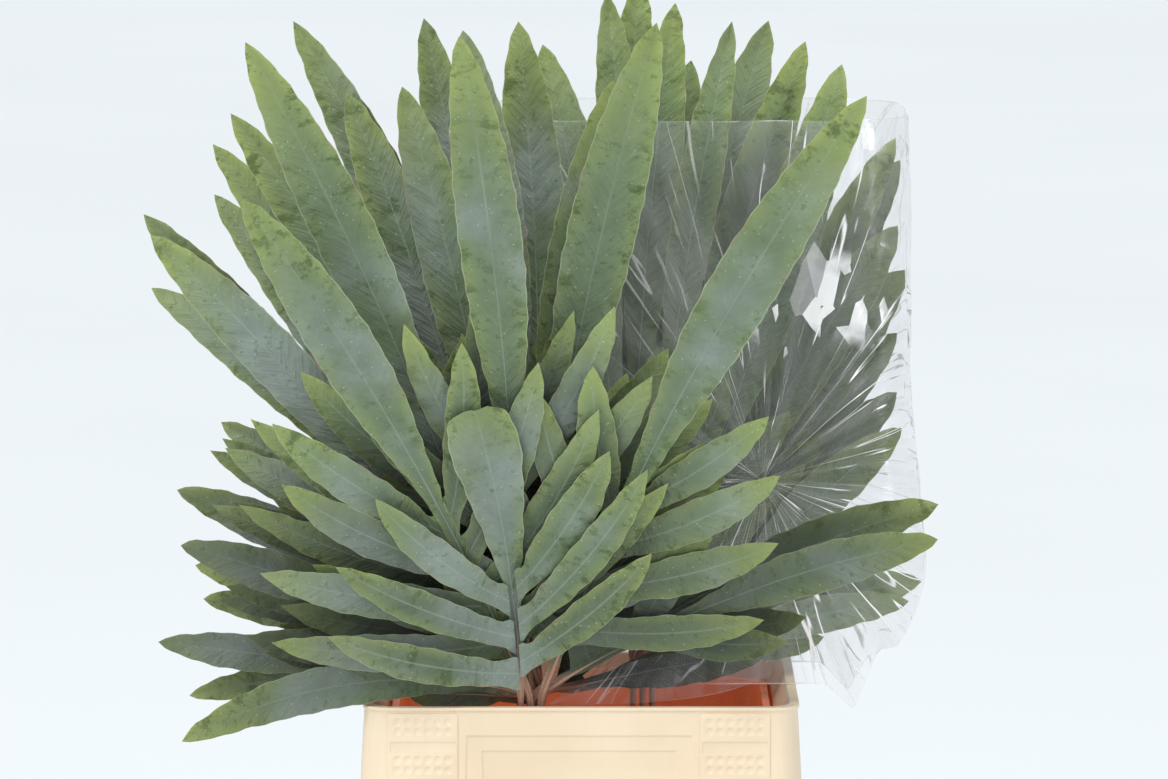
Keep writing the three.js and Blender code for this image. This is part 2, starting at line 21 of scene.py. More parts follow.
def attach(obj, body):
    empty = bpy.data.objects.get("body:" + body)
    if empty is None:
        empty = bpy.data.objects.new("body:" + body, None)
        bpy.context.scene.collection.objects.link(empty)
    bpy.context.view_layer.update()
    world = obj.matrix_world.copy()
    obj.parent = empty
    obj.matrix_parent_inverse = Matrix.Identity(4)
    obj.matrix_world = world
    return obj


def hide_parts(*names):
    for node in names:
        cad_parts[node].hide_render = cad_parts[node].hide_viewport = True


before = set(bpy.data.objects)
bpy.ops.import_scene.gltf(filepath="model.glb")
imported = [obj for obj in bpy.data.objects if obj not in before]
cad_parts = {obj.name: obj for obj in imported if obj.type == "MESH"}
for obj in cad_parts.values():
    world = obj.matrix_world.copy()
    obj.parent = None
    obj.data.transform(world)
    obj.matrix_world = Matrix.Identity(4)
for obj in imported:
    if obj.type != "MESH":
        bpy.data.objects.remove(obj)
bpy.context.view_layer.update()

log = logging.getLogger("fern")

MM = 0.001
RIM = 270.0

Socket = bpy.types.NodeSocket
Object = bpy.types.Object
Material = bpy.types.Material


def mix(a: float, b: float, t: float) -> float:
    """Blend a into b by the share t."""
    return a + (b - a) * t


def limit(value: float, low: float, high: float) -> float:
    """Keep a value between two bounds."""
    return min(high, max(low, value))


def ease(t: np.ndarray) -> np.ndarray:
    """Turn a share from 0 to 1 into a smooth step."""
    t = np.clip(t, 0.0, 1.0)
    return t * t * (3 - 2 * t)


def vary(a: float, b: float) -> float:
    """Give a repeatable value between 0 and 1 for a pair of numbers."""
    s = math.sin(a * 12.9898 + b * 78.233) * 43758.5453
    return s - math.floor(s)


def paint(red: float, green: float, blue: float) -> tuple[float, float, float, float]:
    """Turn a display colour into the linear colour that a shader takes.

    Args:
        red: Red, 0 to 255.
        green: Green, 0 to 255.
        blue: Blue, 0 to 255.

    Returns:
        Linear red, green, blue and a full alpha.
    """
    def linear(v: float) -> float:
        """Undo the display curve for one channel."""
        v /= 255
        return v / 12.92 if v <= 0.04045 else ((v + 0.055) / 1.055) ** 2.4

    return linear(red), linear(green), linear(blue), 1.0


def flow(knots: np.ndarray, values: np.ndarray, at: np.ndarray) -> np.ndarray:
    """Run a smooth curve through rows of values.

    Args:
        knots: Rising positions of the rows.
        values: One row of channels for each position.
        at: Positions to read.

    Returns:
        One row of channels for each position read.
    """
    gaps = np.diff(knots)[:, None]
    slopes = np.diff(values, axis=0) / gaps
    tangents = np.empty_like(values)
    tangents[0], tangents[-1] = slopes[0], slopes[-1]
    if len(knots) > 2:
        before, after = gaps[:-1], gaps[1:]
        tangents[1:-1] = (slopes[:-1] * after + slopes[1:] * before) / (before + after)
    span = np.clip(np.searchsorted(knots, at, side="right") - 1, 0, len(knots) - 2)
    width = (knots[span + 1] - knots[span])[:, None]
    t = ((at - knots[span])[:, None]) / width
    t2, t3 = t * t, t * t * t
    return (
        (2 * t3 - 3 * t2 + 1) * values[span]
        + (t3 - 2 * t2 + t) * width * tangents[span]
        + (3 * t2 - 2 * t3) * values[span + 1]
        + (t3 - t2) * width * tangents[span + 1]
    )


class Recipe:
    """Builds one node material step by step."""

    def __init__(self, name: str) -> None:
        """Start a material with a principled shader and its output.

        Args:
            name: Name of the material.
        """
        self.material = bpy.data.materials.new(name)
        self.material.use_nodes = True
        self.nodes = self.material.node_tree.nodes
        self.links = self.material.node_tree.links
        self.nodes.clear()
        output = self.nodes.new("ShaderNodeOutputMaterial")
        self.shader = self.nodes.new("ShaderNodeBsdfPrincipled")
        self.links.new(self.shader.outputs[0], output.inputs["Surface"])
        coordinates = self.nodes.new("ShaderNodeTexCoord")
        self.place = coordinates.outputs["Object"]

    def feed(self, socket: Socket, value: object) -> None:
        """Link a socket to an output, or set it to a plain value.

        Args:
            socket: Socket to fill.
            value: Output of another node, a number or a colour.
        """
        if isinstance(value, bpy.types.NodeSocket):
            self.links.new(value, socket)
        else:
            socket.default_value = value

    def maths(self, kind: str, *values: object, clamp: bool = False) -> Socket:
        """Add a step of arithmetic.

        Args:
            kind: Operation of the node.
            values: Its inputs, outputs of other nodes or numbers.
            clamp: Keep the result between 0 and 1.

        Returns:
            The result.
        """
        node = self.nodes.new("ShaderNodeMath")
        node.operation, node.use_clamp = kind, clamp
        for socket, value in zip(node.inputs, values):
            self.feed(socket, value)
        return node.outputs[0]

    def times(self, a: object, b: object) -> Socket:
        """Multiply two values."""
        return self.maths("MULTIPLY", a, b)

    def plus(self, a: object, b: object, clamp: bool = False) -> Socket:
        """Add two values, and keep the sum between 0 and 1 where clamp is true."""
        return self.maths("ADD", a, b, clamp=clamp)

    def length(self, a: Socket, b: Socket) -> Socket:
        """Give the length of two steps at right angles."""
        return self.maths("SQRT", self.maths("MULTIPLY_ADD", a, a, self.times(b, b)))

    def blend(self, share: object, a: object, b: object, kind: str = "MIX") -> Socket:
        """Blend two colours.

        Args:
            share: Share of the second colour.
            a: First colour.
            b: Second colour.
            kind: Way of blending.

        Returns:
            The blended colour.
        """
        node = self.nodes.new("ShaderNodeMix")
        node.data_type, node.blend_type = "RGBA", kind
        self.feed(node.inputs[0], share)
        self.feed(node.inputs[6], a)
        self.feed(node.inputs[7], b)
        return node.outputs[2]

    def span(self, value: Socket, low: float, high: float, to: tuple[float, float] = (0, 1)) -> Socket:
        """Turn a range of values into another with soft ends.

        Args:
            value: Value to turn.
            low: Value that becomes the first end.
            high: Value that becomes the second end.
            to: The two ends.

        Returns:
            The new value.
        """
        node = self.nodes.new("ShaderNodeMapRange")
        node.interpolation_type = "SMOOTHSTEP"
        for socket, item in zip(node.inputs, (value, low, high, to[0], to[1])):
            self.feed(socket, item)
        return node.outputs[0]

    def cloud(self, scale: float, detail: float = 3.0, where: object = None, rough: float = 0.55) -> Socket:
        """Add a noise pattern.

        Args:
            scale: Features in a metre.
            detail: Steps of finer noise.
            where: Coordinates, the object's own if left out.
            rough: Weight of the finer steps.

        Returns:
            The noise, about 0.5 on average.
        """
        node = self.nodes.new("ShaderNodeTexNoise")
        node.inputs["Scale"].default_value = scale
        node.inputs["Detail"].default_value = detail
        node.inputs["Roughness"].default_value = rough
        self.links.new(where or self.place, node.inputs["Vector"])
        return node.outputs["Fac"]

    def cells(self, scale: float, where: object = None, feature: str = "F1") -> Socket:
        """Add a cell pattern.

        Args:
            scale: Cells in a metre.
            where: Coordinates, the object's own if left out.
            feature: Which distance is measured.

        Returns:
            The distance.
        """
        node = self.nodes.new("ShaderNodeTexVoronoi")
        node.feature = feature
        node.inputs["Scale"].default_value = scale
        self.links.new(where or self.place, node.inputs["Vector"])
        return node.outputs["Distance"]

    def join(self, x: object, y: object, z: object) -> Socket:
        """Make coordinates from three numbers.

        Args:
            x: First number.
            y: Second number.
            z: Third number.

        Returns:
            The coordinates.
        """
        node = self.nodes.new("ShaderNodeCombineXYZ")
        for socket, value in zip(node.inputs, (x, y, z)):
            self.feed(socket, value)
        return node.outputs[0]

    def stretch(self, x: float, y: float, z: float, where: object = None, turn: float = 0) -> Socket:
        """Scale and turn coordinates.

        Args:
            x: Factor across.
            y: Factor in depth.
            z: Factor up.
            where: Coordinates, the object's own if left out.
            turn: Turn about the depth axis, in degrees.

        Returns:
            The new coordinates.
        """
        node = self.nodes.new("ShaderNodeMapping")
        node.inputs["Scale"].default_value = (x, y, z)
        node.inputs["Rotation"].default_value = (0, math.radians(turn), 0)
        self.links.new(where or self.place, node.inputs["Vector"])
        return node.outputs[0]

    def drift(self, amount: Socket) -> Socket:
        """Move the object's coordinates, so that pieces differ.

        Args:
            amount: How far, a value that each piece has for itself.

        Returns:
            The new coordinates.
        """
        node = self.nodes.new("ShaderNodeVectorMath")
        node.operation = "MULTIPLY_ADD"
        self.links.new(amount, node.inputs[0])
        node.inputs[1].default_value = (3.0, 7.0, 5.0)
        self.links.new(self.place, node.inputs[2])
        return node.outputs[0]

    def value(self, name: str) -> Socket:
        """Read one of the mesh's own attributes.

        Args:
            name: Name of the attribute.

        Returns:
            Its value.
        """
        node = self.nodes.new("ShaderNodeAttribute")
        node.attribute_name = name
        return node.outputs["Fac"]

    def flat(self, name: str) -> tuple[Socket, Socket]:
        """Read one of the mesh's own UV maps.

        Args:
            name: Name of the map.

        Returns:
            Its two directions.
        """
        node = self.nodes.new("ShaderNodeUVMap")
        node.uv_map = name
        split = self.nodes.new("ShaderNodeSeparateXYZ")
        self.links.new(node.outputs[0], split.inputs[0])
        return split.outputs[0], split.outputs[1]

    def grey(self, level: Socket) -> Socket:
        """Turn a number into a grey.

        Args:
            level: The number.

        Returns:
            The grey.
        """
        node = self.nodes.new("ShaderNodeCombineColor")
        for socket in node.inputs:
            self.links.new(level, socket)
        return node.outputs[0]

    def relief(self, height: Socket, depth: float, strength: float = 1.0) -> None:
        """Give the surface a relief.

        Args:
            height: Height pattern, 0 to 1.
            depth: Its depth in metres.
            strength: Weight of the relief.
        """
        node = self.nodes.new("ShaderNodeBump")
        node.inputs["Strength"].default_value = strength
        node.inputs["Distance"].default_value = depth
        self.links.new(height, node.inputs["Height"])
        self.links.new(node.outputs[0], self.shader.inputs["Normal"])

    def set(self, **values: object) -> None:
        """Set or link the shader's sockets by name, with _ for a space."""
        for name, value in values.items():
            self.feed(self.shader.inputs[name.replace("_", " ")], value)


@dataclass(frozen=True)
class LeafFinish:
    """Waxy fern blade: a bluish bloom over green, rubbed off in bands, with a fresh yellow-green tip."""

    name: str
    bloom: tuple[float, float, float] = (137, 149, 141)
    green: tuple[float, float, float] = (108, 125, 95)
    fresh: tuple[float, float, float] = (158, 174, 98)
    rubbed: tuple[float, float, float] = (66, 88, 42)
    # Colour of the painted shade far back in the bunch
    painted_shade: tuple[float, float, float] = (23, 24, 23)
    rib: tuple[float, float, float] = (160, 172, 160)
    margin: tuple[float, float, float] = (184, 190, 156)
    bark: tuple[float, float, float] = (186, 146, 124)
    stem: tuple[float, float, float] = (58, 38, 36)
    roughness: float = 0.52

    def make(self) -> Material:
        """Build the material.

        Returns:
            The blade's material.
        """
        r = Recipe(self.name)
        across, along = r.flat("blade")
        edge, tone, lobe, tip = r.value("edge"), r.value("tone"), r.value("lobe"), r.value("tip")
        own = r.drift(tone)
        broad, middle, grain = r.cloud(11, 3, own), r.cloud(48, 4, own), r.cloud(420, 3, own)
        # Places on the blade itself, longer across it than along it
        seed = r.maths("MULTIPLY_ADD", tone, 31.0, r.times(lobe, 17.0))
        bands = r.join(r.times(across, 4.6), r.times(along, 7.5), seed)
        bloom = r.span(r.maths("MULTIPLY_ADD", tone, 0.14, broad), 0.4, 0.7)
        bloom = r.plus(bloom, r.times(tip, 0.5), clamp=True)
        colour = r.blend(bloom, paint(*self.bloom), paint(*self.green))
        light = r.plus(r.span(lobe, 0, 1, (0.84, 1.12)), r.span(middle, 0.3, 0.7, (-0.1, 0.1)))
        light = r.plus(light, r.span(tone, 0, 1, (-0.04, 0.05)))
        colour = r.blend(1.0, colour, r.grey(light), "MULTIPLY")
        fresh = r.times(r.span(edge, 0.3, 1.0), r.span(broad, 0.35, 0.65, (0.05, 0.34)))
        fresh = r.plus(fresh, r.times(tip, r.span(tone, 0, 1, (0.42, 0.82))), clamp=True)
        colour = r.blend(fresh, colour, paint(*self.fresh))
        # Where the bloom is rubbed off, in ragged bands across the blade and in small flecks
        worn = r.maths("MULTIPLY_ADD", r.span(edge, 0.2, 0.9), 0.045, r.cloud(1.0, 9, bands, 0.74))
        patch = r.times(r.span(worn, 0.54, 0.66), r.span(broad, 0.38, 0.62, (0.12, 0.72)))
        colour = r.blend(patch, colour, paint(*self.rubbed))
        flecks = r.times(r.span(r.cloud(190, 4, own, 0.65), 0.56, 0.66), r.span(middle, 0.4, 0.62))
        colour = r.blend(r.times(flecks, 0.5), colour, paint(*self.rubbed))
        # Side veins slant out from the midrib
        slant = r.maths("SUBTRACT", along, r.times(r.maths("ABSOLUTE", across), 1.15))
        wave = r.maths("SINE", r.maths("MULTIPLY_ADD", slant, 84.0, r.times(middle, 7.0)))
        vein = r.times(r.span(wave, 0.6, 1.0), r.span(edge, 0.95, 0.6))
        colour = r.blend(r.times(vein, r.span(broad, 0.4, 0.6, (0.0, 0.06))), colour, paint(*self.rib))
        # Pale dots, the pale edge that is brown here and there, and the midrib
        dots = r.times(r.span(r.cells(185, own), 0.12, 0.07), r.span(edge, 0.02, 0.1))
        colour = r.blend(r.times(dots, 0.5), colour, (0.56, 0.64, 0.5, 1.0))
        trim = r.blend(r.span(r.cloud(34, 2, own), 0.56, 0.64), paint(*self.margin), paint(*self.bark))
        rim = r.times(r.span(edge, 0.955, 0.99), r.times(r.value("margin"), 0.6))
        colour = r.blend(rim, colour, trim)
        faint = r.span(tip, 0.0, 1.0, (0.38, 0.06))
        line = r.times(r.span(r.maths("ABSOLUTE", across), 0.0095, 0.004), faint)
        colour = r.blend(r.maths("MAXIMUM", line, r.times(r.value("rib"), 0.55)), colour, paint(*self.rib))
        # Painted shade: blades far back in the bunch and low down are darkened, as if shaded by the leaves in
        # front
        shade = r.times(r.value("painted_shade"), r.span(middle, 0.3, 0.7, (0.86, 1.0)))
        colour = r.blend(shade, colour, paint(*self.painted_shade))
        woody = r.value("woody")
        wood = r.blend(r.span(woody, 0.5, 1.0), paint(*self.bark), paint(*self.stem))
        colour = r.blend(r.span(woody, 0.02, 0.4), colour, wood)
        r.set(
            Base_Color=colour,
            Roughness=r.span(middle, 0.3, 0.7, (self.roughness - 0.06, self.roughness + 0.1)),
            Specular_IOR_Level=0.36,
            IOR=1.45,
        )
        # Puckered between the side veins
        pucker = r.cloud(1.0, 3, r.join(r.times(across, 3.6), r.times(slant, 6.0), seed))
        height = r.plus(r.times(grain, 0.1), r.times(vein, 0.04))
        height = r.plus(height, r.times(middle, 0.35))
        height = r.plus(height, pucker)
        r.relief(height, 0.0048, 0.65)
        return r.material


@dataclass(frozen=True)
class PlasticFinish:
    """Moulded plastic: a faint grain, flow lines and handling marks."""

    name: str
    colour: tuple[float, float, float]
    shade: tuple[float, float, float]
    roughness: float = 0.42
    grain: float = 0.00025
    stain: tuple[float, float, float] = (214, 160, 96)
    # Strength of a painted glow in the plastic's own colour; none by default
    painted_glow: float = 0.0

    def make(self) -> Material:
        """Build the material.

        Returns:
            The plastic.
        """
        r = Recipe(self.name)
        broad, middle = r.cloud(9, 4), r.cloud(60, 5)
        colour = r.blend(r.span(broad, 0.35, 0.7), paint(*self.colour), paint(*self.shade))
        # Flow lines of the moulding run up the walls
        lines = r.cloud(38, 3, r.stretch(6.0, 6.0, 0.35))
        colour = r.blend(r.times(r.span(lines, 0.5, 0.72), 0.22), colour, paint(*self.shade))
        spots = r.times(r.span(r.cloud(75, 5, None, 0.7), 0.68, 0.78), 0.35)
        colour = r.blend(spots, colour, paint(*self.stain))
        r.set(
            Base_Color=colour,
            Roughness=r.span(middle, 0.3, 0.7, (self.roughness - 0.08, self.roughness + 0.12)),
            Specular_IOR_Level=0.4,
            IOR=1.49,
        )
        # Painted light: the plastic glows faintly in its own colour, so that its shaded inside reads lit
        if self.painted_glow:
            r.set(Emission_Color=paint(*self.colour), Emission_Strength=self.painted_glow)
        r.relief(r.plus(r.cloud(900, 2), r.times(middle, 0.8)), self.grain, 0.5)
        return r.material


@dataclass(frozen=True)
class FilmFinish:
    """Clear wrapping film: a faint grey veil, with painted white highlights on pulled creases, crumpled spots
    and the hem.
    """

    name: str
    tint: tuple[float, float, float] = (216, 218, 220)
    veil: float = 0.06
    glint_strength: float = 0.82
    gather: tuple[float, float] = (0.132, 0.418)
    spot: tuple[float, float] = (0.176, 0.552)

    def make(self) -> Material:
        """Build the material.

        Returns:
            The film.
        """
        r = Recipe(self.name)
        split = r.nodes.new("ShaderNodeSeparateXYZ")
        r.links.new(r.place, split.inputs[0])
        x, y, z = split.outputs
        # Painted highlights: thin white lines along creases that run out from the place where the film is
        # gathered
        across, up = r.maths("SUBTRACT", x, self.gather[0]), r.maths("SUBTRACT", z, self.gather[1])
        turn = r.maths("ARCTAN2", up, across)
        away = r.length(across, up)
        creases = self.pulled(r, turn, away, y, 4.5, 3.2, 0.01)
        creases = r.maths("MAXIMUM", creases, self.pulled(r, turn, away, y, 12.0, 5.5, 0.015))
        # Crumpled spots: small facets painted white as highlights, picked by noise
        east, high = r.maths("SUBTRACT", x, self.spot[0]), r.maths("SUBTRACT", z, self.spot[1])
        near = r.length(east, high)
        where = r.maths("MULTIPLY_ADD", r.cloud(24, 3), 0.1, near)
        where = r.maths("MAXIMUM", r.span(where, 0.105, 0.075), r.span(r.cloud(13, 2), 0.66, 0.72))
        # The painted highlights along the creased lines are weaker towards the left
        creases = r.times(creases, r.span(x, 0.07, 0.14, (0.3, 1.0)))
        for scale, angle, least in ((62, 34, 0.8), (120, -20, 0.86)):
            creases = r.maths("MAXIMUM", creases, r.times(where, self.facets(r, scale, angle, least)))
        # Painted highlight: a white band along the film's hem, broken by noise
        hem = r.times(r.span(r.value("hem"), 0.72, 0.95), r.span(r.cloud(26, 3), 0.42, 0.62, (0.05, 0.6)))
        creases = r.maths("MAXIMUM", creases, hem)
        fine = r.cloud(1.0, 4, r.join(r.times(turn, 9.0), r.times(away, 6.0), y))
        veil = r.span(fine, 0.32, 0.72, (self.veil * 0.5, self.veil * 1.9))
        # Where highlights are painted the film turns whiter and more opaque
        alpha = r.plus(veil, r.times(creases, self.glint_strength), clamp=True)
        r.set(
            Base_Color=r.blend(creases, paint(*self.tint), (1.0, 1.0, 1.0, 1.0)),
            Metallic=0.1,
            Roughness=0.16,
            Specular_IOR_Level=0.55,
            Alpha=alpha,
        )
        r.relief(r.plus(fine, r.times(r.cells(60, r.stretch(1, 1, 0.4, None, 30)), 0.6)), 0.0016, 0.8)
        return r.material

    @staticmethod
    def pulled(recipe: Recipe, turn: Socket, away: Socket, depth: Socket, count: float, length: float,
               width: float) -> Socket:
        """Add thin creased lines, painted as highlights, that run out from the gathered place.

        Args:
            recipe: Material that they are added to.
            turn: Direction from the gathered place.
            away: Distance from it.
            depth: Place in depth.
            count: Creases in a radian.
            length: How often they break off in a metre.
            width: Width of the lines.

        Returns:
            1 on a painted highlight along a creased line, 0 beside it.
        """
        where = recipe.join(recipe.times(turn, count), recipe.times(away, length),
                            recipe.times(depth, 6.0))
        ridge = recipe.maths("ABSOLUTE", recipe.maths("SUBTRACT", recipe.cloud(1.0, 1.5, where), 0.5))
        broken = recipe.span(recipe.cloud(1.6, 2, where), 0.52, 0.6)
        return recipe.times(recipe.span(ridge, width, width * 0.25), broken)

    @staticmethod
    def facets(recipe: Recipe, scale: float, angle: float, least: float) -> Socket:
        """Add small facets painted white as highlights.

        Args:
            recipe: Material that they are added to.
            scale: Facets in a metre.
            angle: Their slant in degrees.
            least: Share of the facets that stay clear.

        Returns:
            1 on a facet painted as a highlight, 0 elsewhere.
        """
        node = recipe.nodes.new("ShaderNodeTexVoronoi")
        node.inputs["Scale"].default_value = scale
        recipe.links.new(recipe.stretch(1.0, 1.0, 0.5, None, angle), node.inputs["Vector"])
        split = recipe.nodes.new("ShaderNodeSeparateColor")
        recipe.links.new(node.outputs["Color"], split.inputs[0])
        return recipe.span(split.outputs[0], least, least + 0.04)


@dataclass(frozen=True)
class WaterFinish:
    """Still water, faintly green in the bucket."""

    name: str
    tint: tuple[float, float, float] = (150, 168, 150)

    def make(self) -> Material:
        """Build the material.

        Returns:
            The water.
        """
        r = Recipe(self.name)
        colour = r.blend(r.span(r.cloud(24, 3), 0.35, 0.7), paint(*self.tint), paint(118, 132, 112))
        r.set(Base_Color=colour, Roughness=0.04, Specular_IOR_Level=0.5, IOR=1.33, Alpha=0.72)
        r.relief(r.cloud(35, 2), 0.0006, 0.4)
        return r.material


@dataclass(frozen=True)
class FloorFinish:
    """Plain pale studio floor."""

    name: str
    colour: tuple[float, float, float] = (240, 246, 250)

    def make(self) -> Material:
        """Build the material.

        Returns:
            The floor.
        """
        r = Recipe(self.name)
        soft = r.span(r.cloud(0.6, 3), 0.3, 0.7)
        colour = r.blend(soft, paint(*self.colour), paint(*[c - 3 for c in self.colour]))
        r.set(Base_Color=colour, Roughness=0.75, Specular_IOR_Level=0.15)
        return r.material


class Bench:
    """Selecting, cutting and finishing with Blender's own tools."""

    @staticmethod
    def clear() -> None:
        """Leave edit mode and deselect everything."""
        if bpy.context.object and bpy.context.object.mode != "OBJECT":
            bpy.ops.object.mode_set(mode="OBJECT")
        bpy.ops.object.select_all(action="DESELECT")

    @staticmethod
    def take(piece: Object) -> None:
        """Select one piece alone and make it active.

        Args:
            piece: The piece.
        """
        Bench.clear()
        piece.select_set(True)
        bpy.context.view_layer.objects.active = piece

    @staticmethod
    def pick(piece: Object, kind: str, test: Callable[[object], bool]) -> None:
        """Select the parts of a mesh that pass a test, in edit mode.

        Args:
            piece: The piece being edited.
            kind: "faces", "edges" or "verts".
            test: Says whether a part is wanted.
        """
        bpy.ops.mesh.select_mode(type={"faces": "FACE", "edges": "EDGE", "verts": "VERT"}[kind])
        bpy.ops.mesh.select_all(action="DESELECT")
        mesh = bmesh.from_edit_mesh(piece.data)
        for part in [part for part in getattr(mesh, kind) if test(part)]:
            part.select_set(True)
        bmesh.update_edit_mesh(piece.data)

    @staticmethod
    def block(name: str, low: Sequence[float], high: Sequence[float]) -> Object:
        """Add a block between two corners.

        Args:
            name: Name of the piece.
            low: Lowest corner, in millimetres.
            high: Highest corner, in millimetres.

        Returns:
            The block, with its place in its mesh.
        """
        Bench.clear()
        middle = [(a + b) / 2 * MM for a, b in zip(low, high)]
        bpy.ops.mesh.primitive_cube_add(size=1, location=middle)
        piece = bpy.context.object
        piece.name = piece.data.name = name
        piece.scale = [(b - a) * MM for a, b in zip(low, high)]
        Bench.settle(piece)
        return piece

    @staticmethod
    def lay(name: str, points: Sequence[Sequence[float]], faces: Sequence[tuple[int, ...]]) -> Object:
        """Make a piece from points and faces.

        Args:
            name: Name of the piece.
            points: Its vertices, in metres.
            faces: Its faces.

        Returns:
            The piece, in the scene.
        """
        mesh = bpy.data.meshes.new(name)
        mesh.from_pydata(points, [], faces)
        piece = bpy.data.objects.new(name, mesh)
        bpy.context.scene.collection.objects.link(piece)
        return piece

    @staticmethod
    def mark(piece: Object, name: str, values: Sequence[float]) -> None:
        """Give a piece an attribute with a value for each vertex."""
        attribute = piece.data.attributes.new(name, "FLOAT", "POINT")
        attribute.data.foreach_set("value", values)

    @staticmethod
    def settle(piece: Object) -> None:
        """Put a piece's place, turn and scale into its mesh."""
        Bench.take(piece)
        bpy.ops.object.transform_apply(location=True, rotation=True, scale=True)

    @staticmethod
    def resize(x: float, y: float, z: float, centre: Sequence[float]) -> None:
        """Scale what is selected about a point in millimetres."""
        bpy.ops.transform.resize(value=(x, y, z), center_override=[c * MM for c in centre])

    @staticmethod
    def cut(point: Sequence[float], normal: Sequence[float]) -> None:
        """Cut what is selected along a plane through a point in millimetres."""
        bpy.ops.mesh.bisect(plane_co=[c * MM for c in point], plane_no=normal)

    @staticmethod
    def press(piece: Object, kind: str, **settings: object) -> None:
        """Add a modifier and apply it.

        Args:
            piece: The piece.
            kind: Type of the modifier.
            settings: Its settings.
        """
        Bench.take(piece)
        modifier = piece.modifiers.new(kind.title(), kind)
        for name, value in settings.items():
            setattr(modifier, name, value)
        bpy.ops.object.modifier_apply(modifier=modifier.name)

    @staticmethod
    def smooth(piece: Object, degrees: float = 35) -> None:
        """Shade a piece smooth, with crisp edges past an angle."""
        Bench.take(piece)
        bpy.ops.object.shade_smooth_by_angle(angle=math.radians(degrees))


def dress(piece: Object, finish: Material, slot: str, *nodes: str) -> None:
    """Give a piece its finish, hide the nodes that it stands for, and let it ride on the root.

    Args:
        piece: The piece.
        finish: Its material.
        slot: The record's material slot; not used.
        nodes: Names of the nodes that it replaces.
    """
    piece.data.materials.clear()
    piece.data.materials.append(finish)
    if nodes:
        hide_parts(*nodes)
    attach(piece, "root")
    log.info("%s: %d faces", piece.name, len(piece.data.polygons))


class TipShape(Enum):
    """How an end lobe ends."""

    POINTED = "pointed"
    BLUNT = "blunt"


@dataclass(frozen=True)
class Spec:
    """Sizes of one frond; angles in degrees, lengths in millimetres."""

    lean: float
    reach: float
    arch: float
    strap: float
    split: float
    pairs: int
    lobe: float
    tip: TipShape = TipShape.POINTED
    first: float = 44
    fan: float = 0
    rise: float = 0
    angles: tuple[tuple[float, float], tuple[float, float]] | None = None


@dataclass(frozen=True)
class Bunch:
    """A stack of nested sheets, each with one frond, and the point where the stalks meet.

    The gloom sets the painted shade low in the bunch: its share, the height over the rim where it starts to
    fade and the height over which it fades. The bark is how brown the stalks are below the rim and just above
    it.
    """

    name: str
    slot: str
    x: float
    y: float
    pitch: float
    lean_front: float
    lean_rear: float
    round_left: float
    round_right: float
    foot_x: float
    foot_y: float
    lobe_low: float
    lobe_high: float
    lobe_width: float
    lobe_foot: float
    fronds: tuple[Spec, ...]
    z: float = RIM
    foot_spread: float = 1.25
    columns: int = 3
    column_step: float = 7
    gloom: tuple[float, float, float] = (0.85, 20, 230)
    bark: tuple[float, float] = (1.0, 0.56)

    def away(self, x: np.ndarray, z: np.ndarray) -> np.ndarray:
        """Give the softened distance from the meeting point."""
        return np.sqrt((x - self.x) ** 2 + (z - self.z) ** 2 + 1600) - 40

    def stack(self, order: int) -> float:
        """Give a sheet's place in the stack, from its middle."""
        return (order - (len(self.fronds) - 1) / 2) * self.pitch

    def depth(self, order: int, x: np.ndarray, z: np.ndarray) -> np.ndarray:
        """Give the depth of a sheet.

        Args:
            order: Number of the sheet, from the nearest.
            x: Places across the picture.
            z: Heights.

        Returns:
            The depth at each place.
        """
        dx, dz, away = x - self.x, z - self.z, self.away(x, z)
        lean = mix(self.lean_front, self.lean_rear, order / (len(self.fronds) - 1))
        bend = np.where(dx < 0, self.round_left, self.round_right)
        swell = 5 * (away / 300) * np.sin(dx / 85 + dz / 160 + 0.6)
        return self.y + self.stack(order) + away * lean + dx * dx / (2 * bend) + swell

    def room(self, x: np.ndarray, z: np.ndarray) -> np.ndarray:
        """Give the room between two sheets at each place."""
        return self.pitch + self.away(x, z) * (self.lean_rear - self.lean_front) / (len(self.fronds) - 1)


# Shares of a lobe's length, and its half width at each
END_LOBE = {
    TipShape.POINTED: ((0, 0.14, 0.32, 0.54, 0.76, 0.9, 0.97, 1), (0.3, 0.54, 0.88, 1, 0.82, 0.52, 0.25, 0)),
    TipShape.BLUNT: ((0, 0.22, 0.5, 0.8, 1), (0.34, 0.56, 0.82, 1, 0.84)),
}
SIDE_LOBE = ((0, 0.22, 0.5, 0.78, 0.92, 1), (0.72, 0.84, 1, 0.72, 0.38, 0))
# Angles of the side lobes in degrees: the widest, how far past it one is left out, and the least
WIDEST, PAST_WIDEST, LEAST_SPREAD = 101, 20, 24
# Fronds that lean further left than this hang in the open, and those further right in the film's edge; both
# get less painted shade
OPEN_LEFT, EDGE_RIGHT = -70, 60
TRACK_STEPS = 240

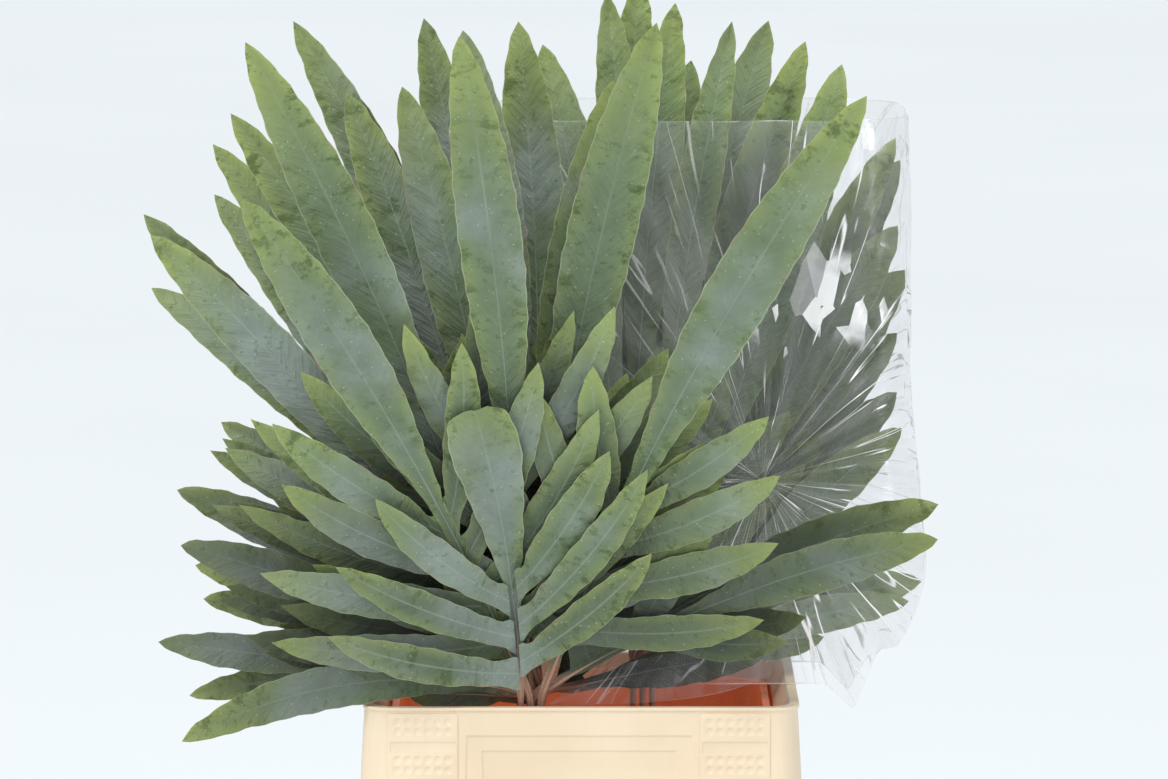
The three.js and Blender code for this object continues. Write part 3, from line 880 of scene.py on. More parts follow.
FRONT = Bunch(
    name="front_frond", slot="frond", x=-36, y=-69.5, pitch=2.15, lean_front=-0.46, lean_rear=0.03,
    round_left=620, round_right=1500, foot_x=-48, foot_y=-44,
    lobe_low=76, lobe_high=39, lobe_width=28, lobe_foot=26,
    fronds=(
        Spec(-8, 226, 0.03, 50, 0.46, 3, 140, TipShape.BLUNT, first=20, fan=3, angles=((86, 55), (60, 47))),
        Spec(-27.6, 424, 0.03, 44, 0.4, 4, 160),
        Spec(26.3, 504, 0.03, 46, 0.36, 4, 138),
        Spec(-4.6, 494, 0.02, 44, 0.38, 4, 160),
        Spec(65.4, 315, 0.05, 35, 0.42, 2, 100),
        Spec(-95.6, 257, 0.11, 32, 0.12, 1, 90, first=14, rise=1.5),
        Spec(-21.2, 519, 0.03, 44, 0.38, 4, 170),
        Spec(-64.6, 275, 0.05, 32, 0.46, 2, 140),
        Spec(-86, 96, 0.02, 26, 0.26, 1, 44, first=16, rise=-1),
        Spec(10.8, 507, 0.02, 48, 0.37, 4, 150),
        Spec(-38, 433, 0.04, 40, 0.42, 4, 165),
        Spec(62.1, 319, 0.05, 36, 0.42, 2, 110),
        Spec(-36.8, 443, 0.03, 35, 0.42, 4, 160),
        Spec(-11.2, 457, 0.02, 42, 0.4, 3, 155),
        Spec(-83.7, 277, 0.005, 27, 0.48, 2, 110, rise=9),
        Spec(8.4, 459, 0.02, 42, 0.38, 3, 135),
        Spec(-92.4, 247, 0.055, 27, 0.24, 1, 90, first=18, rise=9),
        Spec(-27.3, 477, 0.045, 40, 0.4, 3, 160),
        Spec(-4.7, 487, 0.02, 48, 0.38, 3, 150),
        Spec(-42.7, 401, 0.07, 34, 0.44, 4, 172),
        Spec(78.8, 165, 0.02, 30, 0.26, 1, 56, first=18, rise=-2),
        Spec(-15.8, 454, 0.03, 42, 0.4, 2, 150),
        Spec(-29.8, 458, 0.045, 38, 0.4, 3, 160),
        Spec(-19.9, 517, 0.05, 40, 0.38, 2, 150),
        Spec(-8, 494, 0.02, 42, 0.38, 2, 140),
        Spec(-1, 487, 0.02, 46, 0.38, 2, 130),
        Spec(-62.1, 300, 0.05, 32, 0.46, 2, 120),
        Spec(-70.5, 253, 0.05, 28, 0.46, 1, 84),
        Spec(-49.9, 295, 0.05, 30, 0.46, 1, 84),
        Spec(-76.8, 254, 0.05, 28, 0.46, 1, 84),
        Spec(-32.3, 419, 0.04, 36, 0.42, 2, 120),
    ),
)

SLEEVED = Bunch(
    name="rear_frond", slot="sleeved_frond", x=45, y=20, pitch=2.6, lean_front=0.02, lean_rear=0.25,
    round_left=2400, round_right=2400, foot_x=46, foot_y=34,
    lobe_low=54, lobe_high=34, lobe_width=24, lobe_foot=22, gloom=(0.5, 340, 90), bark=(0.6, 0.4),
    fronds=(
        Spec(77.2, 207, 0.03, 28, 0.3, 1, 42, rise=10, first=24),
        Spec(7.6, 485, 0.02, 32, 0.42, 2, 110),
        Spec(45, 258, 0.03, 36, 0.4, 1, 84),
        Spec(18.7, 473, -0.012, 46, 0.36, 3, 105),
        Spec(-9, 467, 0.02, 46, 0.42, 3, 92),
        Spec(71.5, 209, 0.06, 32, 0.4, 1, 72),
        Spec(3.6, 492, 0.02, 40, 0.42, 2, 104),
        Spec(29.8, 377, 0.03, 44, 0.42, 3, 102),
        Spec(13.7, 475, 0.03, 40, 0.42, 2, 104),
        Spec(-2.2, 496, 0.02, 38, 0.42, 2, 96),
        Spec(4.6, 448, 0.02, 44, 0.42, 2, 104),
        Spec(24.9, 428, 0.02, 38, 0.36, 3, 106),
        Spec(0.6, 505, 0.02, 44, 0.42, 2, 96),
        Spec(27.3, 417, 0.03, 44, 0.42, 3, 106),
        Spec(33, 345, 0.03, 44, 0.42, 2, 98),
        Spec(39, 312, 0.03, 38, 0.42, 2, 84),
        Spec(11.3, 481, 0.03, 44, 0.44, 2, 90),
        Spec(42.8, 269, 0.03, 36, 0.4, 1, 84),
    ),
)


class Skin:
    """Collects the vertices, faces and attributes of one frond's mesh."""

    # The last channel holds painted shade, darkest far back in the bunch and low down
    CHANNELS = ("edge", "tone", "lobe", "tip", "margin", "woody", "rib", "painted_shade")

    def __init__(self) -> None:
        """Start with nothing."""
        self.points: list[np.ndarray] = []
        self.faces: list[tuple[int, ...]] = []
        self.flat: list[np.ndarray] = []
        self.marks: list[np.ndarray] = []
        self.count = 0

    def add(self, points: np.ndarray, flat: np.ndarray, marks: dict[str, np.ndarray]) -> int:
        """Add vertices.

        Args:
            points: Their places in millimetres.
            flat: Their places on the flattened blade, across and along.
            marks: Values of the attributes, one for each vertex.

        Returns:
            Number of the first vertex.
        """
        first = self.count
        self.points.append(points)
        self.flat.append(flat)
        rows = [np.broadcast_to(marks.get(channel, 0.0), len(points)) for channel in self.CHANNELS]
        self.marks.append(np.stack(rows, 1))
        self.count += len(points)
        return first

    def make(self, name: str) -> Object:
        """Make the object.

        Args:
            name: Name of the piece.

        Returns:
            The piece, in metres.
        """
        piece = Bench.lay(name, (np.concatenate(self.points) * MM).tolist(), self.faces)
        mesh = piece.data
        corners = np.empty(len(mesh.loops), np.int32)
        mesh.loops.foreach_get("vertex_index", corners)
        layer = mesh.uv_layers.new(name="blade")
        layer.data.foreach_set("uv", (np.concatenate(self.flat) * 0.01)[corners].astype(np.float32).ravel())
        for channel, values in zip(self.CHANNELS, np.concatenate(self.marks).T):
            Bench.mark(piece, channel, values.astype(np.float32))
        mesh.validate()
        return piece


@dataclass
class Frond:
    """One frond: a stalk, a midrib, an end lobe and pairs of side lobes."""

    bunch: Bunch
    order: int
    row_step: float = 5.0
    thick: float = 0.3
    stalk: float = 2.1
    stalk_foot: float = 12
    pair_skew: float = 5
    columns: tuple[float, ...] = (-1, -0.93, -0.72, -0.42, -0.15, 0, 0.15, 0.42, 0.72, 0.93, 1)
    skin: Skin = field(default_factory=Skin)

    def __post_init__(self) -> None:
        """Work out where the stalk reaches the blade."""
        bunch = self.bunch
        self.spec = bunch.fronds[self.order]
        column = self.order % bunch.columns - (bunch.columns - 1) / 2
        self.foot_x = bunch.x + column * bunch.column_step
        self.foot_z = bunch.z + self.spec.rise
        self.tone = vary(self.order, 4 + bunch.x)
        # Painted shade is stronger for fronds further back in the stack; sleeved fronds get it in full, less
        # at the film's edge
        self.shade_weight = limit((self.order + 1) / 7, 0, 1) if self.order else 0.12
        if bunch is SLEEVED:
            self.shade_weight = 0.4 if self.spec.lean > EDGE_RIGHT else 1.0

    @property
    def name(self) -> str:
        """Name of the node that this frond stands for."""
        return f"{self.bunch.name}_{self.order + 1:02d}"

    def midrib(self, share: float) -> tuple[float, float, float]:
        """Follow the midrib.

        Args:
            share: Share of its length.

        Returns:
            Its place across, its height and its heading.
        """
        spec = self.spec
        angle, turned = math.radians(spec.lean), math.copysign(1, spec.lean)
        bow = -turned * spec.arch * spec.reach * 4 * share * (1 - share)
        x = self.foot_x + math.sin(angle) * spec.reach * share + math.cos(angle) * bow
        z = self.foot_z + math.cos(angle) * spec.reach * share - math.sin(angle) * bow
        return x, z, angle - turned * math.atan(4 * spec.arch * (1 - 2 * share))

    def beside(self, share: float, offset: float) -> np.ndarray:
        """Give a point beside the midrib, to the right of its heading."""
        x, z, heading = self.midrib(share)
        return np.array([x + math.cos(heading) * offset, z - math.sin(heading) * offset])

    def gloom(self, part: np.ndarray, z: np.ndarray) -> np.ndarray:
        """Give how much painted shade each row gets, as if shaded by the leaves in front.

        Args:
            part: Share of the way out to where the blade lies open.
            z: Heights.

        Returns:
            1 for the darkest rows, 0 for the open ones.
        """
        share, start, over = self.bunch.gloom
        low = share * (1 - ease((z - RIM - start) / over))
        if self.spec.lean < OPEN_LEFT:
            low = low * 0.5
        return self.shade_weight * np.maximum(1 - ease(part), low)

    def surface(self, x: np.ndarray, z: np.ndarray, lift: np.ndarray, forward: float = 0) -> np.ndarray:
        """Give the depth of the blade's middle.

        Args:
            x: Places across the picture.
            z: Heights.
            lift: Waves and relief, away from the viewer, in millimetres.
            forward: How far the part of a fanned frond stands forward.

        Returns:
            The depth at each place.
        """
        bound = np.maximum((self.bunch.room(x, z) - 0.7) / 2 - 0.2, 0.05)
        ahead = forward + 1.4 if self.spec.fan else 0
        return self.bunch.depth(self.order, x, z) + bound * np.tanh(lift / bound) - ahead

    def wave_size(self, x: np.ndarray, z: np.ndarray) -> np.ndarray:
        """Give the size of the margin's waves at each place."""
        return np.clip((self.bunch.room(x, z) - 1.0) * 0.5 - 0.35, 0, 3.4)

    def sheet(self, left: np.ndarray, right: np.ndarray, waves: np.ndarray, marks: dict[str, np.ndarray],
              seed: float, forward: float = 0, tuck: np.ndarray | float = 0, blunt: bool = False) -> None:
        """Lay a strip of blade between two edges, as a thin closed body.

        Args:
            left: Points of the left edge in the picture plane.
            right: Points of the right edge.
            waves: Waves of the left edge, the middle and the right edge in each row.
            marks: Attributes of each row.
            seed: Number that sets the strip's own ripples.
            forward: How far it stands forward in a fanned frond.
            tuck: How far each row lies behind its place.
            blunt: True where the last row isn't a point.
        """
        v = np.array(self.columns)
        rows = len(left)
        middle, half = (left + right) / 2, (right - left) / 2
        steps = np.linalg.norm(np.diff(middle, axis=0), axis=1)
        along = np.concatenate([[0], np.cumsum(steps)])
        width = np.linalg.norm(half, axis=1)
        scallop = 0.45 * np.sin(along / 3.1 + seed) + 0.3 * np.sin(along / 5.3 + 2 * seed)
        other = 0.45 * np.sin(along / 2.9 + 3 * seed) + 0.3 * np.sin(along / 4.7 + seed + 2)
        fade = np.minimum(1, width / 8)
        x = middle[:, :1] + half[:, :1] * v
        z = middle[:, 1:] + half[:, 1:] * v
        # The margins are slightly scalloped
        push = np.where(v < 0, scallop[:, None], other[:, None]) * fade[:, None] * np.abs(v) ** 6
        unit = half / np.maximum(width, 1e-6)[:, None]
        x += unit[:, :1] * push * np.sign(v)
        z += unit[:, 1:] * push * np.sign(v)
        if blunt:
            drop = 5.5 * np.abs(v) ** 3.5 + 1.1 * np.sin(9 * v + 1) * (1 - np.abs(v))
            heading = (middle[-1] - middle[-2]) / max(steps[-1], 1e-6)
            near = ease((along - along[-1] + 22) / 22)[:, None]
            x -= heading[0] * drop * near
            z -= heading[1] * drop * near
        side = np.abs(v)
        edge_wave = np.where(v < 0, waves[:, :1], waves[:, 2:])
        lift = self.wave_size(x, z) * (edge_wave * side + waves[:, 1:2] * (1 - side))
        left_ripple, right_ripple = np.sin(along / 4.3 + 1.7 * seed), np.sin(along / 3.7 + seed)
        ripple = np.where(v < 0, left_ripple[:, None], right_ripple[:, None])
        room = self.bunch.room(x, z)
        lift += np.minimum(0.5, 0.08 * room) * ripple * side**3 * fade[:, None]
        channel = np.minimum(1.7, 0.16 * room) * fade[:, None]
        lift += channel * (0.45 - side**1.6) * (1 if vary(seed, 6) > 0.25 else -0.8)
        y = self.surface(x, z, lift, forward) + np.broadcast_to(tuck, rows)[:, None]
        thick = self.thick * (1 - 0.75 * side**4) * np.ones((rows, 1))
        flat = np.stack(np.broadcast_arrays(width[:, None] * v, along[:, None]), -1)
        spread = {name: np.broadcast_to(np.reshape(mark, (-1, 1)), x.shape) for name, mark in marks.items()}
        spread["edge"] = np.broadcast_to(side, x.shape)
        self.close(x, y, z, thick, flat, spread, blunt)

    def close(self, x: np.ndarray, y: np.ndarray, z: np.ndarray, thick: np.ndarray, flat: np.ndarray,
              marks: dict[str, np.ndarray], blunt: bool) -> None:
        """Turn a grid into a closed body, front and back sharing their rim.

        Args:
            x: Places across.
            y: Depths.
            z: Heights.
            thick: Half thickness.
            flat: Places on the flattened blade.
            marks: Attributes.
            blunt: True where the last row isn't a point.
        """
        rows, cols = x.shape
        last = rows - 1
        skin = self.skin
        keep = np.ones((rows, cols), bool)
        if not blunt:
            keep[last, 1:] = False
        rim = np.zeros((rows, cols), bool)
        rim[0, :] = rim[last, :] = rim[:, 0] = rim[:, -1] = True
        front = np.full((rows, cols), -1)
        lower = np.where(rim, 0, thick)
        points = np.stack([x, y - lower, z], -1)
        first = skin.add(points[keep], flat[keep], {name: mark[keep] for name, mark in marks.items()})
        front[keep] = first + np.arange(keep.sum())
        if not blunt:
            front[last, :] = front[last, 0]
        back = front.copy()
        inner = ~rim
        points = np.stack([x, y + thick, z], -1)
        first = skin.add(points[inner], flat[inner], {name: mark[inner] for name, mark in marks.items()})
        back[inner] = first + np.arange(inner.sum())
        for i in range(last):
            for j in range(cols - 1):
                a, b, c, d = front[i, j], front[i, j + 1], front[i + 1, j + 1], front[i + 1, j]
                e, f, g, h = back[i, j], back[i, j + 1], back[i + 1, j + 1], back[i + 1, j]
                if c == d:
                    skin.faces.append((a, b, c))
                    if (a, b, c) != (e, f, g):
                        skin.faces.append((e, g, f))
                    continue
                skin.faces.append((a, b, c, d))
                skin.faces.append((e, h, g, f))

    def rows_along(self, centre: np.ndarray) -> tuple[np.ndarray, np.ndarray]:
        """Space the rows of a strip.

        Args:
            centre: Its middle points.

        Returns:
            Their distances along the strip, and the distances of the new rows.
        """
        knots = np.concatenate([[0], np.cumsum(np.linalg.norm(np.diff(centre, axis=0), axis=1))])
        count = max(6, int(knots[-1] / self.row_step))
        return knots, np.linspace(0, knots[-1], count + 1)

    def side_lobe(self, low: np.ndarray, high: np.ndarray, side: int, relative: float, length: float,
                  width: float, seed: int, forward: float) -> None:
        """Grow a side lobe from two points of the midrib strip.

        Args:
            low: Lower point on the strip's edge.
            high: Upper point.
            side: 1 to the right of the midrib, -1 to the left.
            relative: Angle to the midrib.
            length: Length of the lobe.
            width: Its greatest width.
            seed: Number that sets its own form.
            forward: How far it stands forward in a fanned frond.
        """
        spec = self.spec
        rib = math.atan2(high[0] - low[0], high[1] - low[1])
        most = math.radians(WIDEST - (8 if spec.rise else 0))
        heading = rib + side * relative
        if side * heading > most + math.radians(PAST_WIDEST):
            return
        heading = side * min(side * heading, most)
        if abs(heading - rib) < math.radians(LEAST_SPREAD):
            return
        bend = -side * math.radians(16 + 10 * vary(seed, 3))
        count = max(8, int(length / self.row_step))
        start = -3.0 / length
        s = np.concatenate([[start], np.linspace(0, 1, count + 1)])
        fine = np.linspace(0, 1, TRACK_STEPS + 1)
        turn = heading + bend * fine
        begin = (low + high) / 2
        places = []
        for origin, share_of in zip(begin, (np.sin, np.cos)):
            steps = (share_of(turn[1:]) + share_of(turn[:-1])) / 2
            track = np.concatenate([[0], np.cumsum(steps)]) * length / TRACK_STEPS
            before = s * length * share_of(heading)
            places.append(origin + np.where(s < 0, before, np.interp(s, fine, track)))
        centre, z = np.stack(places, 1), places[1]
        angle = heading + bend * np.clip(s, 0, 1)
        normal = np.stack([np.cos(angle), -np.sin(angle)], 1)
        knots, widths = np.array(SIDE_LOBE, float)
        shape = flow(knots, widths[:, None], np.clip(s, 0, 1))[:, 0]
        half = (width / 2) * np.maximum(shape, 0)
        joined = ease(s / 0.24)[:, None]
        up = np.array([math.sin(rib), math.cos(rib)])
        out = np.array([math.sin(heading), math.cos(heading)])
        flare = 3.6 * np.exp(-np.maximum(s, 0) * length / 4.5)[:, None]
        base_left, base_right = (high, low) if side > 0 else (low, high)
        lean = side * up
        left = (base_left + lean * flare + out * (s * length)[:, None]) * (1 - joined)
        left = left + (centre - normal * half[:, None]) * joined
        right = (base_right - lean * flare + out * (s * length)[:, None]) * (1 - joined)
        right = right + (centre + normal * half[:, None]) * joined
        left[-1] = right[-1] = centre[-1]
        grown = ease(s / 0.2)
        wave = np.sin(seed * 2.4 + s * 5.2 + spec.lean) * grown
        end = ease((s - 0.78) / 0.22)
        tip_wave = vary(seed, 9) - 0.5
        left_wave, right_wave = mix(wave, tip_wave, end), mix(-wave, tip_wave, end)
        waves = np.stack([left_wave, (left_wave + right_wave) / 2, right_wave], 1)
        lobe = 0.5 + (vary(seed, 11) - 0.5) * ease((s - 0.04) / 0.3)
        # The lobe gets painted shade, strongest at its base and low down
        marks = {"tone": np.full(len(s), self.tone), "lobe": lobe, "tip": ease((s - 0.45) / 0.6) ** 1.5,
                 "margin": ease(s / 0.08), "painted_shade": self.gloom(s / 0.92, z)}
        self.sheet(left, right, waves, marks, seed + 0.37, forward, 0.22 * (1 - ease(s / 0.18)))

    def blade(self) -> None:
        """Build the midrib strip with the end lobe, and the side lobes beside it."""
        spec, bunch, order = self.spec, self.bunch, self.order
        begin = spec.first / spec.reach
        step = (spec.split - begin) / spec.pairs
        foot_share = min(0.66, bunch.lobe_foot / (step * spec.reach))
        rows = []
        for half, z in ((1.5, bunch.z - 14), (1.9, bunch.z)):
            rows.append((np.array([self.foot_x - half, z]), np.array([self.foot_x + half, z]), 0, 0, 0))
        skew = self.pair_skew / spec.reach
        for pair in range(spec.pairs):
            low = begin + pair * step
            high = low + step * foot_share
            t = pair / (spec.pairs - 1) if spec.pairs > 1 else 0.5
            half = mix(3.4, 5.4, t)
            for share in (low, high):
                rows.append((self.beside(share - skew, -half), self.beside(share + skew, half), 0, 0, 0))
            for side in (-1, 1):
                seed = order * 17 + pair * 3 + side
                lowest, highest = bunch.lobe_low, bunch.lobe_high
                if spec.angles:
                    lowest, highest = spec.angles[1 if side > 0 else 0]
                angle = mix(lowest, highest, t) + 3 * (vary(seed, 1) - 0.5)
                length = spec.lobe * (0.74 + 0.26 * math.sin(math.pi * mix(0.3, 0.85, t)))
                length *= 0.92 + 0.16 * vary(seed, 2)
                width = min(bunch.lobe_width, step * spec.reach * 0.98 + 2) * (0.92 + 0.16 * vary(seed, 5))
                forward = spec.fan * (spec.pairs - pair) + (1.6 if side > 0 and spec.fan else 0)
                place = 1 if side > 0 else 0
                self.side_lobe(rows[-2][place], rows[-1][place], side, math.radians(angle), length, width,
                               seed, forward)
        blunt = spec.tip is TipShape.BLUNT
        shares, widths = END_LOBE[spec.tip]
        for part, wide in zip(shares, widths):
            share, half = mix(spec.split, 1, part), spec.strap / 2 * wide
            wave = math.sin(order * 1.7 + part * 9) * (1 if wide else 0)
            other = math.sin(order * 2.3 + part * 8 + 2) * (1 if wide else 0)
            rows.append((self.beside(share, -half), self.beside(share, half), wave, -0.3 * wave, other))
        left = np.array([row[0] for row in rows])
        right = np.array([row[1] for row in rows])
        waves = np.array([row[2:] for row in rows], float)
        knots, at = self.rows_along((left + right) / 2)
        dense = flow(knots, np.concatenate([left, right, waves], 1), at)
        split = knots[len(rows) - len(shares)]
        part = (at - split) / (knots[-1] - split)
        if not blunt:
            dense[-1, 2:4] = dense[-1, 0:2] = (left[-1] + right[-1]) / 2
        # The midrib strip gets painted shade, strongest low on the strip and fading out just past where the
        # end lobe begins, and low down
        marks = {"tone": np.full(len(at), self.tone), "lobe": np.full(len(at), 0.5),
                 "tip": ease((part - 0.5) / 0.55) ** 1.5 * (0.8 if blunt else 1), "margin": ease(part / 0.12),
                 "woody": 0.45 * (1 - ease((at - 8) / 60)),
                 "painted_shade": self.gloom(part / 0.35 + 0.6, (dense[:, 1] + dense[:, 3]) / 2)}
        self.sheet(dense[:, :2], dense[:, 2:4], dense[:, 4:], marks, order + 0.61, 0, 0, blunt)
        self.rib()

    def stalk_axis(self, z: float) -> tuple[float, float]:
        """Give the stalk's place at a height.

        Args:
            z: Height.

        Returns:
            Its place across and its depth.
        """
        bunch = self.bunch
        top = bunch.z - 4
        depth = bunch.depth(self.order, np.array([self.foot_x]), np.array([bunch.z - 9.0]))[0]
        t = (top - z) / (top - self.stalk_foot)
        foot_x = bunch.foot_x + (self.foot_x - bunch.x) * bunch.foot_spread
        foot_y = bunch.foot_y + bunch.stack(self.order) * bunch.foot_spread
        return mix(self.foot_x, foot_x, t), mix(float(depth), foot_y, t)

    def rib(self) -> None:
        """Run the round stalk up from the water and on as the midrib, thinner and thinner."""
        spec, bunch = self.spec, self.bunch
        bark_below, bark_above = bunch.bark
        path, radii, woody = [], [], []
        for z in np.linspace(self.stalk_foot, bunch.z - 10, 9):
            x, y = self.stalk_axis(z)
            path.append((x, y, z))
            radii.append(self.stalk)
            woody.append(bark_below)
        shares = np.concatenate([np.linspace(0.012, spec.split, 16), np.linspace(spec.split, 0.9, 15)[1:]])
        xs, zs = [], []
        for share in shares:
            x, z, _ = self.midrib(share)
            xs.append(x)
            zs.append(z + (bunch.z - self.foot_z) * (1 - ease(np.array(share * spec.reach / 30))))
        xs, zs = np.array(xs), np.array(zs, float)
        part = (shares - spec.split) / (1 - spec.split)
        mid_wave = np.where(part > 0, -0.3 * np.sin(self.order * 1.7 + part * 9), 0) * ease(part / 0.1)
        size = self.wave_size(xs, zs)
        sign = 1 if vary(self.order + 0.61, 6) > 0.25 else -0.8
        fade = np.clip(part * 2, 0, 1)
        keel = np.minimum(1.7, 0.16 * bunch.room(xs, zs)) * 0.45 * sign
        ys = self.surface(xs, zs, size * mid_wave + keel * (0.45 + 0.55 * fade)) - 0.1
        thin = 1.9 - 1.1 * ease(shares * spec.reach / 60)
        thin = thin * (1 - 0.35 * ease(shares / spec.split)) * (1 - 0.45 * ease(part))
        for x, y, z, radius, share in zip(xs, ys, zs, thin, shares):
            path.append((x, y, z))
            radii.append(radius)
            woody.append(max(0.0, bark_above - share * spec.reach / 150))
        # Painted shade on the midrib, a little less than on the strip beside it; none on the stalk
        painted_shade = np.concatenate([np.zeros(len(path) - len(shares)), 0.85 * self.gloom(part / 0.35 + 0.6, zs)])
        bright = np.concatenate([np.ones(len(path) - len(shares)), 1 - 0.7 * ease(part / 0.8)])
        self.tube(np.array(path, float), np.array(radii), np.array(woody), painted_shade, bright, 8)

    def tube(self, path: np.ndarray, radii: np.ndarray, woody: np.ndarray, painted_shade: np.ndarray,
             bright: np.ndarray, sides: int) -> None:
        """Sweep a round section along a path and close its ends.

        Args:
            path: Points of the path.
            radii: Radius at each point.
            woody: How brown it is at each point.
            painted_shade: How much painted shade each point gets.
            bright: How far it stands out from the blade.
            sides: Sides of the section.
        """
        skin = self.skin
        tangent = np.gradient(path, axis=0)
        tangent /= np.linalg.norm(tangent, axis=1)[:, None]
        across = np.cross(tangent, np.array([0.0, 1.0, 0.0]))
        across /= np.linalg.norm(across, axis=1)[:, None]
        other = np.cross(across, tangent)
        angles = np.linspace(0, 2 * math.pi, sides, endpoint=False)
        cosines, sines = np.cos(angles)[None, :, None], np.sin(angles)[None, :, None]
        ring = cosines * across[:, None] + sines * other[:, None]
        points = (path[:, None] + ring * radii[:, None, None]).reshape(-1, 3)
        steps = np.linalg.norm(np.diff(path, axis=0), axis=1)
        along = np.repeat(np.concatenate([[0], np.cumsum(steps)]), sides)
        flat = np.stack([np.tile(np.sin(angles), len(path)) * 2, along], 1)
        marks = {"tone": np.array(self.tone), "lobe": np.array(0.5)}
        for channel, values in (("woody", woody), ("rib", bright), ("painted_shade", painted_shade)):
            marks[channel] = np.repeat(values, sides)
        first = skin.add(points, flat, marks)
        for i in range(len(path) - 1):
            for j in range(sides):
                a, b = first + i * sides + j, first + i * sides + (j + 1) % sides
                skin.faces.append((a, a + sides, b + sides, b))
        skin.faces.append(tuple(first + j for j in range(sides)))
        top = first + (len(path) - 1) * sides
        skin.faces.append(tuple(top + j for j in reversed(range(sides))))

    def make(self, finish: Material) -> Object:
        """Build and dress the frond.

        Args:
            finish: Its material.

        Returns:
            The piece.
        """
        self.blade()
        piece = self.skin.make(f"{self.name}_blade")
        Bench.smooth(piece, 50)
        dress(piece, finish, self.bunch.slot, self.name)
        return piece


@dataclass
class Tub:
    """A tapered moulded vessel with rounded corners and a lip."""

    name: str
    base_width: float
    base_depth: float
    top_width: float
    top_depth: float
    foot: float
    top: float
    wall: float
    floor: float
    corner: float
    lip: float
    lip_height: float

    def half(self, z: float) -> tuple[float, float]:
        """Give half the width and half the depth at a height."""
        t = (z - self.foot) / (self.top - self.foot)
        return mix(self.base_width, self.top_width, t) / 2, mix(self.base_depth, self.top_depth, t) / 2

    def body(self) -> Object:
        """Model the outer body as a tapered block with rounded corners and its lip.

        Returns:
            The piece, left in edit mode.
        """
        w, d = self.base_width / 2, self.base_depth / 2
        piece = Bench.block(self.name, (-w, -d, self.foot), (w, d, self.top))
        bpy.ops.object.mode_set(mode="EDIT")
        Bench.pick(piece, "faces", lambda f: f.normal.z > 0.9)
        Bench.resize(self.top_width / self.base_width, self.top_depth / self.base_depth, 1, (0, 0, self.top))
        Bench.pick(piece, "edges", lambda e: abs(e.verts[0].co.z - e.verts[1].co.z) > 0.05)
        bpy.ops.mesh.bevel(offset=self.corner * MM, segments=12, affect="EDGES")
        bpy.ops.mesh.select_all(action="SELECT")
        Bench.cut((0, 0, self.top - self.lip_height), (0, 0, 1))
        band = (self.top - self.lip_height) * MM + 1e-5
        Bench.pick(piece, "faces", lambda f: abs(f.normal.z) < 0.5 and f.calc_center_median().z > band)
        bpy.ops.mesh.extrude_region_shrink_fatten(TRANSFORM_OT_shrink_fatten={"value": self.lip * MM})
        return piece

    def hollow(self, piece: Object, lip_in: float = 0, flange: float = 0, drop: float = 0) -> None:
        """Sink the cavity into the top face.

        Args:
            piece: The body, in edit mode.
            lip_in: How far the lip reaches in past the wall.
            flange: Inner width at the foot of the thickened side walls.
            drop: How far below the rim that foot lies.
        """
        w, d = self.half(self.top)
        inner_w, inner_d = w - self.wall - lip_in, d - self.wall - lip_in
        Bench.pick(piece, "faces", lambda f: f.normal.z > 0.9 and f.calc_area() > 0.01)
        bpy.ops.mesh.inset(thickness=0.0005)
        Bench.pick(piece, "faces", lambda f: f.normal.z > 0.9 and f.calc_area() > 0.01)
        Bench.resize(inner_w / (w - 0.5), inner_d / (d - 0.5), 1, (0, 0, self.top))
        level = self.top
        if lip_in:
            foot = self.top - drop
            foot_w, foot_d = self.half(foot)
            bpy.ops.mesh.extrude_region_move(TRANSFORM_OT_translate={"value": (0, 0, -drop * MM)})
            Bench.resize(flange / 2 / inner_w, (foot_d - self.wall - lip_in) / inner_d, 1, (0, 0, foot))
            bpy.ops.mesh.extrude_region_move(TRANSFORM_OT_translate={"value": (0, 0, -1 * MM)})
            level = foot - 1
            Bench.resize((foot_w - self.wall) * 2 / flange,
                         (foot_d - self.wall) / (foot_d - self.wall - lip_in), 1, (0, 0, level))
            w, d = foot_w, foot_d
        low_w, low_d = self.half(self.foot + self.floor)
        depth = level - self.foot - self.floor
        bpy.ops.mesh.extrude_region_move(TRANSFORM_OT_translate={"value": (0, 0, -depth * MM)})
        Bench.resize((low_w - self.wall) / (w - self.wall), (low_d - self.wall) / (d - self.wall), 1,
                     (0, 0, self.foot + self.floor))

    @staticmethod
    def soften(piece: Object, width: float) -> None:
        """Leave edit mode and round a vessel's edges.

        Args:
            piece: The vessel.
            width: Width of the rounding.
        """
        Bench.clear()
        Bench.press(piece, "BEVEL", width=width * MM, segments=3, limit_method="ANGLE",
                    angle_limit=math.radians(32))
        Bench.smooth(piece, 34)


